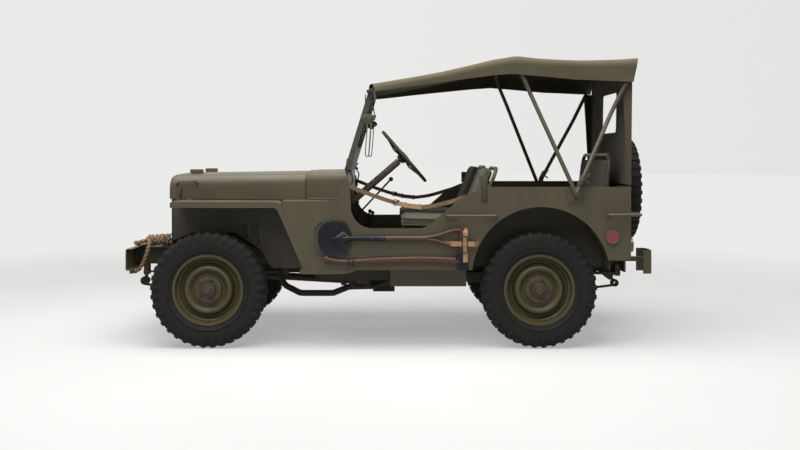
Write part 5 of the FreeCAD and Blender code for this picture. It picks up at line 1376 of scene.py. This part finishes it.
# ---------------------------------------------------------------- bonnet, steering hub and things below

def make_bonnet():
    """One bent sheet with a full round at its nose, and the turned-down face."""
    low, reach = 905, 39  # height of its lower edges, and points from one of them to the other
    sections = []  # (station, half width, top, radius of the shoulders)
    for i in range(11):
        turn = i / 10 * math.pi / 2
        sections.append((-289 + 52 * (1 - math.cos(turn)), 414 + 6 * math.sin(turn), 1026 + 34 * math.sin(turn),
                60 + 10 * math.sin(turn)))
    for i in range(1, 9):
        t = i / 8
        sections.append((-237 + 825 * t, 420 + 128 * t, 1060 + 12 * t, 70 - 8 * t))

    def sheet_place(column, row):
        station, half, top, radius = sections[column]
        side = -1 if row < reach // 2 else 1
        step = min(row, reach - 1 - row)
        if step < 4:
            y, z = half, low + (top - radius - low) * step / 4
        elif step < 12:
            turn = (step - 4) / 8 * math.pi / 2
            y, z = half - radius + radius * math.cos(turn), top - radius + radius * math.sin(turn)
        else:
            y = (half - radius) * (1 - (step - 12) / 7)
            z = top + 6 * (1 - (y / (half - radius)) ** 2)
        return spot(station, side * y, z)

    sheet = faced_out(shaped_grid("bonnet_sheet", len(sections), reach, sheet_place))
    upper = max(sheet.data.polygons, key=lambda face: face.center.z)
    apply_modifier(sheet, "SOLIDIFY", thickness=0.003, offset=-1.0 if upper.normal.z > 0 else 1.0)
    rim = [(-406, 970), (-413, 976)]
    for i in range(9):
        turn = i / 8 * math.pi / 2
        rim.append((-(353 + 59.5 * math.cos(turn)), 965.5 + 59.5 * math.sin(turn)))
    rim += [(0, 1030.5)] + [(-y, z) for y, z in reversed(rim)]
    face = plate("bonnet_face", rim, -289, -286, way="x")
    finish_piece(join("bonnet", [sheet, face]), "hood", "olive", angle=40, replaces="hood")


STEERING_MIDDLE, COLUMN_LEAN = (1209, -350, 1176), 49  # the rim's centre, and the column's turn from upright


def wheel_place(x, y, z):
    """A place by the steering wheel: x and y in its plane, z along the column."""
    lean = math.radians(COLUMN_LEAN)
    station, side, high = STEERING_MIDDLE
    return (station + x * math.cos(lean) + z * math.sin(lean), side + y, high - x * math.sin(lean) + z * math.cos(lean))


def make_steering_hub():
    """Boss, horn button and three pairs of tapered spoke rods."""
    parts = [bar("flare", wheel_place(0, 0, -42), wheel_place(0, 0, -10), 21, 32, taper=43),
            bar("boss", wheel_place(0, 0, -10), wheel_place(0, 0, 6), 43, 32, taper=36),
            bar("button", wheel_place(0, 0, 6), wheel_place(0, 0, 16), 22, 32, taper=18)]
    for turn in (90, 210, 330):
        c, d = math.cos(math.radians(turn)), math.sin(math.radians(turn))
        for spread in (-7, 7):
            parts.append(bar("spoke", wheel_place(28 * c - spread * d, 28 * d + spread * c, -8),
                    wheel_place(200 * c - spread * d * 0.6, 200 * d + spread * c * 0.6, -1), 8.5, 12, taper=5.5))
    finish_piece(join("steering_hub", parts), "steering_wheel", "grip", angle=40)


def make_brackets():
    """Bow brackets, hanging lugs, spring eyes and seam bolts."""
    for side, label in SIDES:
        on = Side(side, label)

        # rest bracket of the front bow on the body side
        rest = [on.panel("rest", [(1670, 905), (1676, 900), (1704, 900), (1710, 905), (1708, 1046), (1702, 1054),
                    (1680, 1054), (1674, 1046)], SKIN, 736),
                on.panel("ridge", [(1682, 915), (1698, 915), (1697, 1040), (1683, 1040)], 735, 741)]
        rest += [on.bolt("head", (1690, 740, z), 6, 4) for z in (924, 980, 1030)]
        on.finish("bow_rest_bracket", rest, "screen", 0.8)
        # pivot plate and the clamp on the rear bow's leg
        pivot = [on.panel("pivot", [(2204, 986), (2212, 994), (2276, 994), (2286, 984), (2278, 932), (2256, 906),
                    (2236, 900), (2216, 918)], SKIN, 735),
                on.rod("collar", (2259, 772, 996), (2290, 768, 1062), 18.5, 20),
                on.wire("ear", [(2290, 778, 1040), (2304, 788, 1046), (2312, 787, 1066), (2322, 785, 1072)], 5.5),
                on.wire("ear_low", [(2292, 778, 1030), (2306, 788, 1024), (2318, 788, 1010)], 5.0),
                on.bolt("screw", (2272, 780, 1028), 9, 12)]
        pivot += [on.bolt("head", (s, 735, z), 6, 4) for s, z in ((2220, 978), (2270, 976), (2246, 918))]
        on.finish("bow_pivot_plate", pivot, "screen", 0.8)
        # hanging brackets under the sill, with their nuts
        low = [on.box("lug", (802, 318, 345), (838, 352, 412)),
                on.box("lug", (866, 312, 330), (892, 350, 415)),
                on.box("lug", (950, 310, 322), (990, 352, 415)),
                on.bolt("nut", (820, 352, 362), 10, 9),
                on.bolt("nut", (879, 350, 346), 9, 9),
                on.bolt("nut", (970, 352, 340), 10, 9)]
        on.finish("hanging_lugs", low, "iron", 3)
        # eye of the front spring with its shackle link and main leaf, and the rear gusset with its eye
        ring = on.ring("eye", [(-24, 10), (24, 10), (26, 13), (26, 24), (24, 27), (-24, 27), (-26, 24), (-26, 13)],
                (-462, 340, 376), 28)
        link = [on.rod("link", (-440, 352, 446), (-460, 352, 380), 10, 16),
                on.rod("leaf", (-462, 340, 352), (-320, 340, 336), 8, 12),
                on.bolt("nut", (-462, 364, 376), 12, 10)]
        on.finish("spring_eye", [ring] + link, "iron")
        gusset = on.panel("spring_gusset_" + label,
                [(2433, 496), (2560, 496), (2560, 405), (2534, 378), (2498, 404), (2450, 446)], 342, 348)
        finish_piece(gusset, "car", "chassis", bevel=1)
        back = on.ring("eye", [(-22, 9), (22, 9), (24, 12), (24, 22), (22, 24), (-22, 24), (-24, 22), (-24, 12)],
                (2566, 345, 362), 28)
        link = [on.rod("leaf", (2556, 345, 346), (2400, 345, 326), 8, 12),
                on.rod("hang", (2545, 345, 392), (2563, 345, 372), 9, 12)]
        on.finish("rear_spring_eye", [back] + link, "iron")
        # small bolts along the body's seams
        heads = [on.bolt("seam", (s, SKIN, z), 5, 3, 10) for s,
                z in ((610, 860), (610, 760), (610, 660), (905, 560), (1080, 500), (1260, 500), (1440, 500),
                (2540, 900), (2540, 760), (2540, 620))]
        on.finish("seam_bolts", heads, "olive", angle=30)


set_camera()
set_stage()
finish_frame()
make_bonnet()
make_steering_hub()
make_brackets()
make_roof()
make_curtains()
make_running_gear()
make_cushions()
make_straps()
make_rope()
make_tools()
make_fittings()
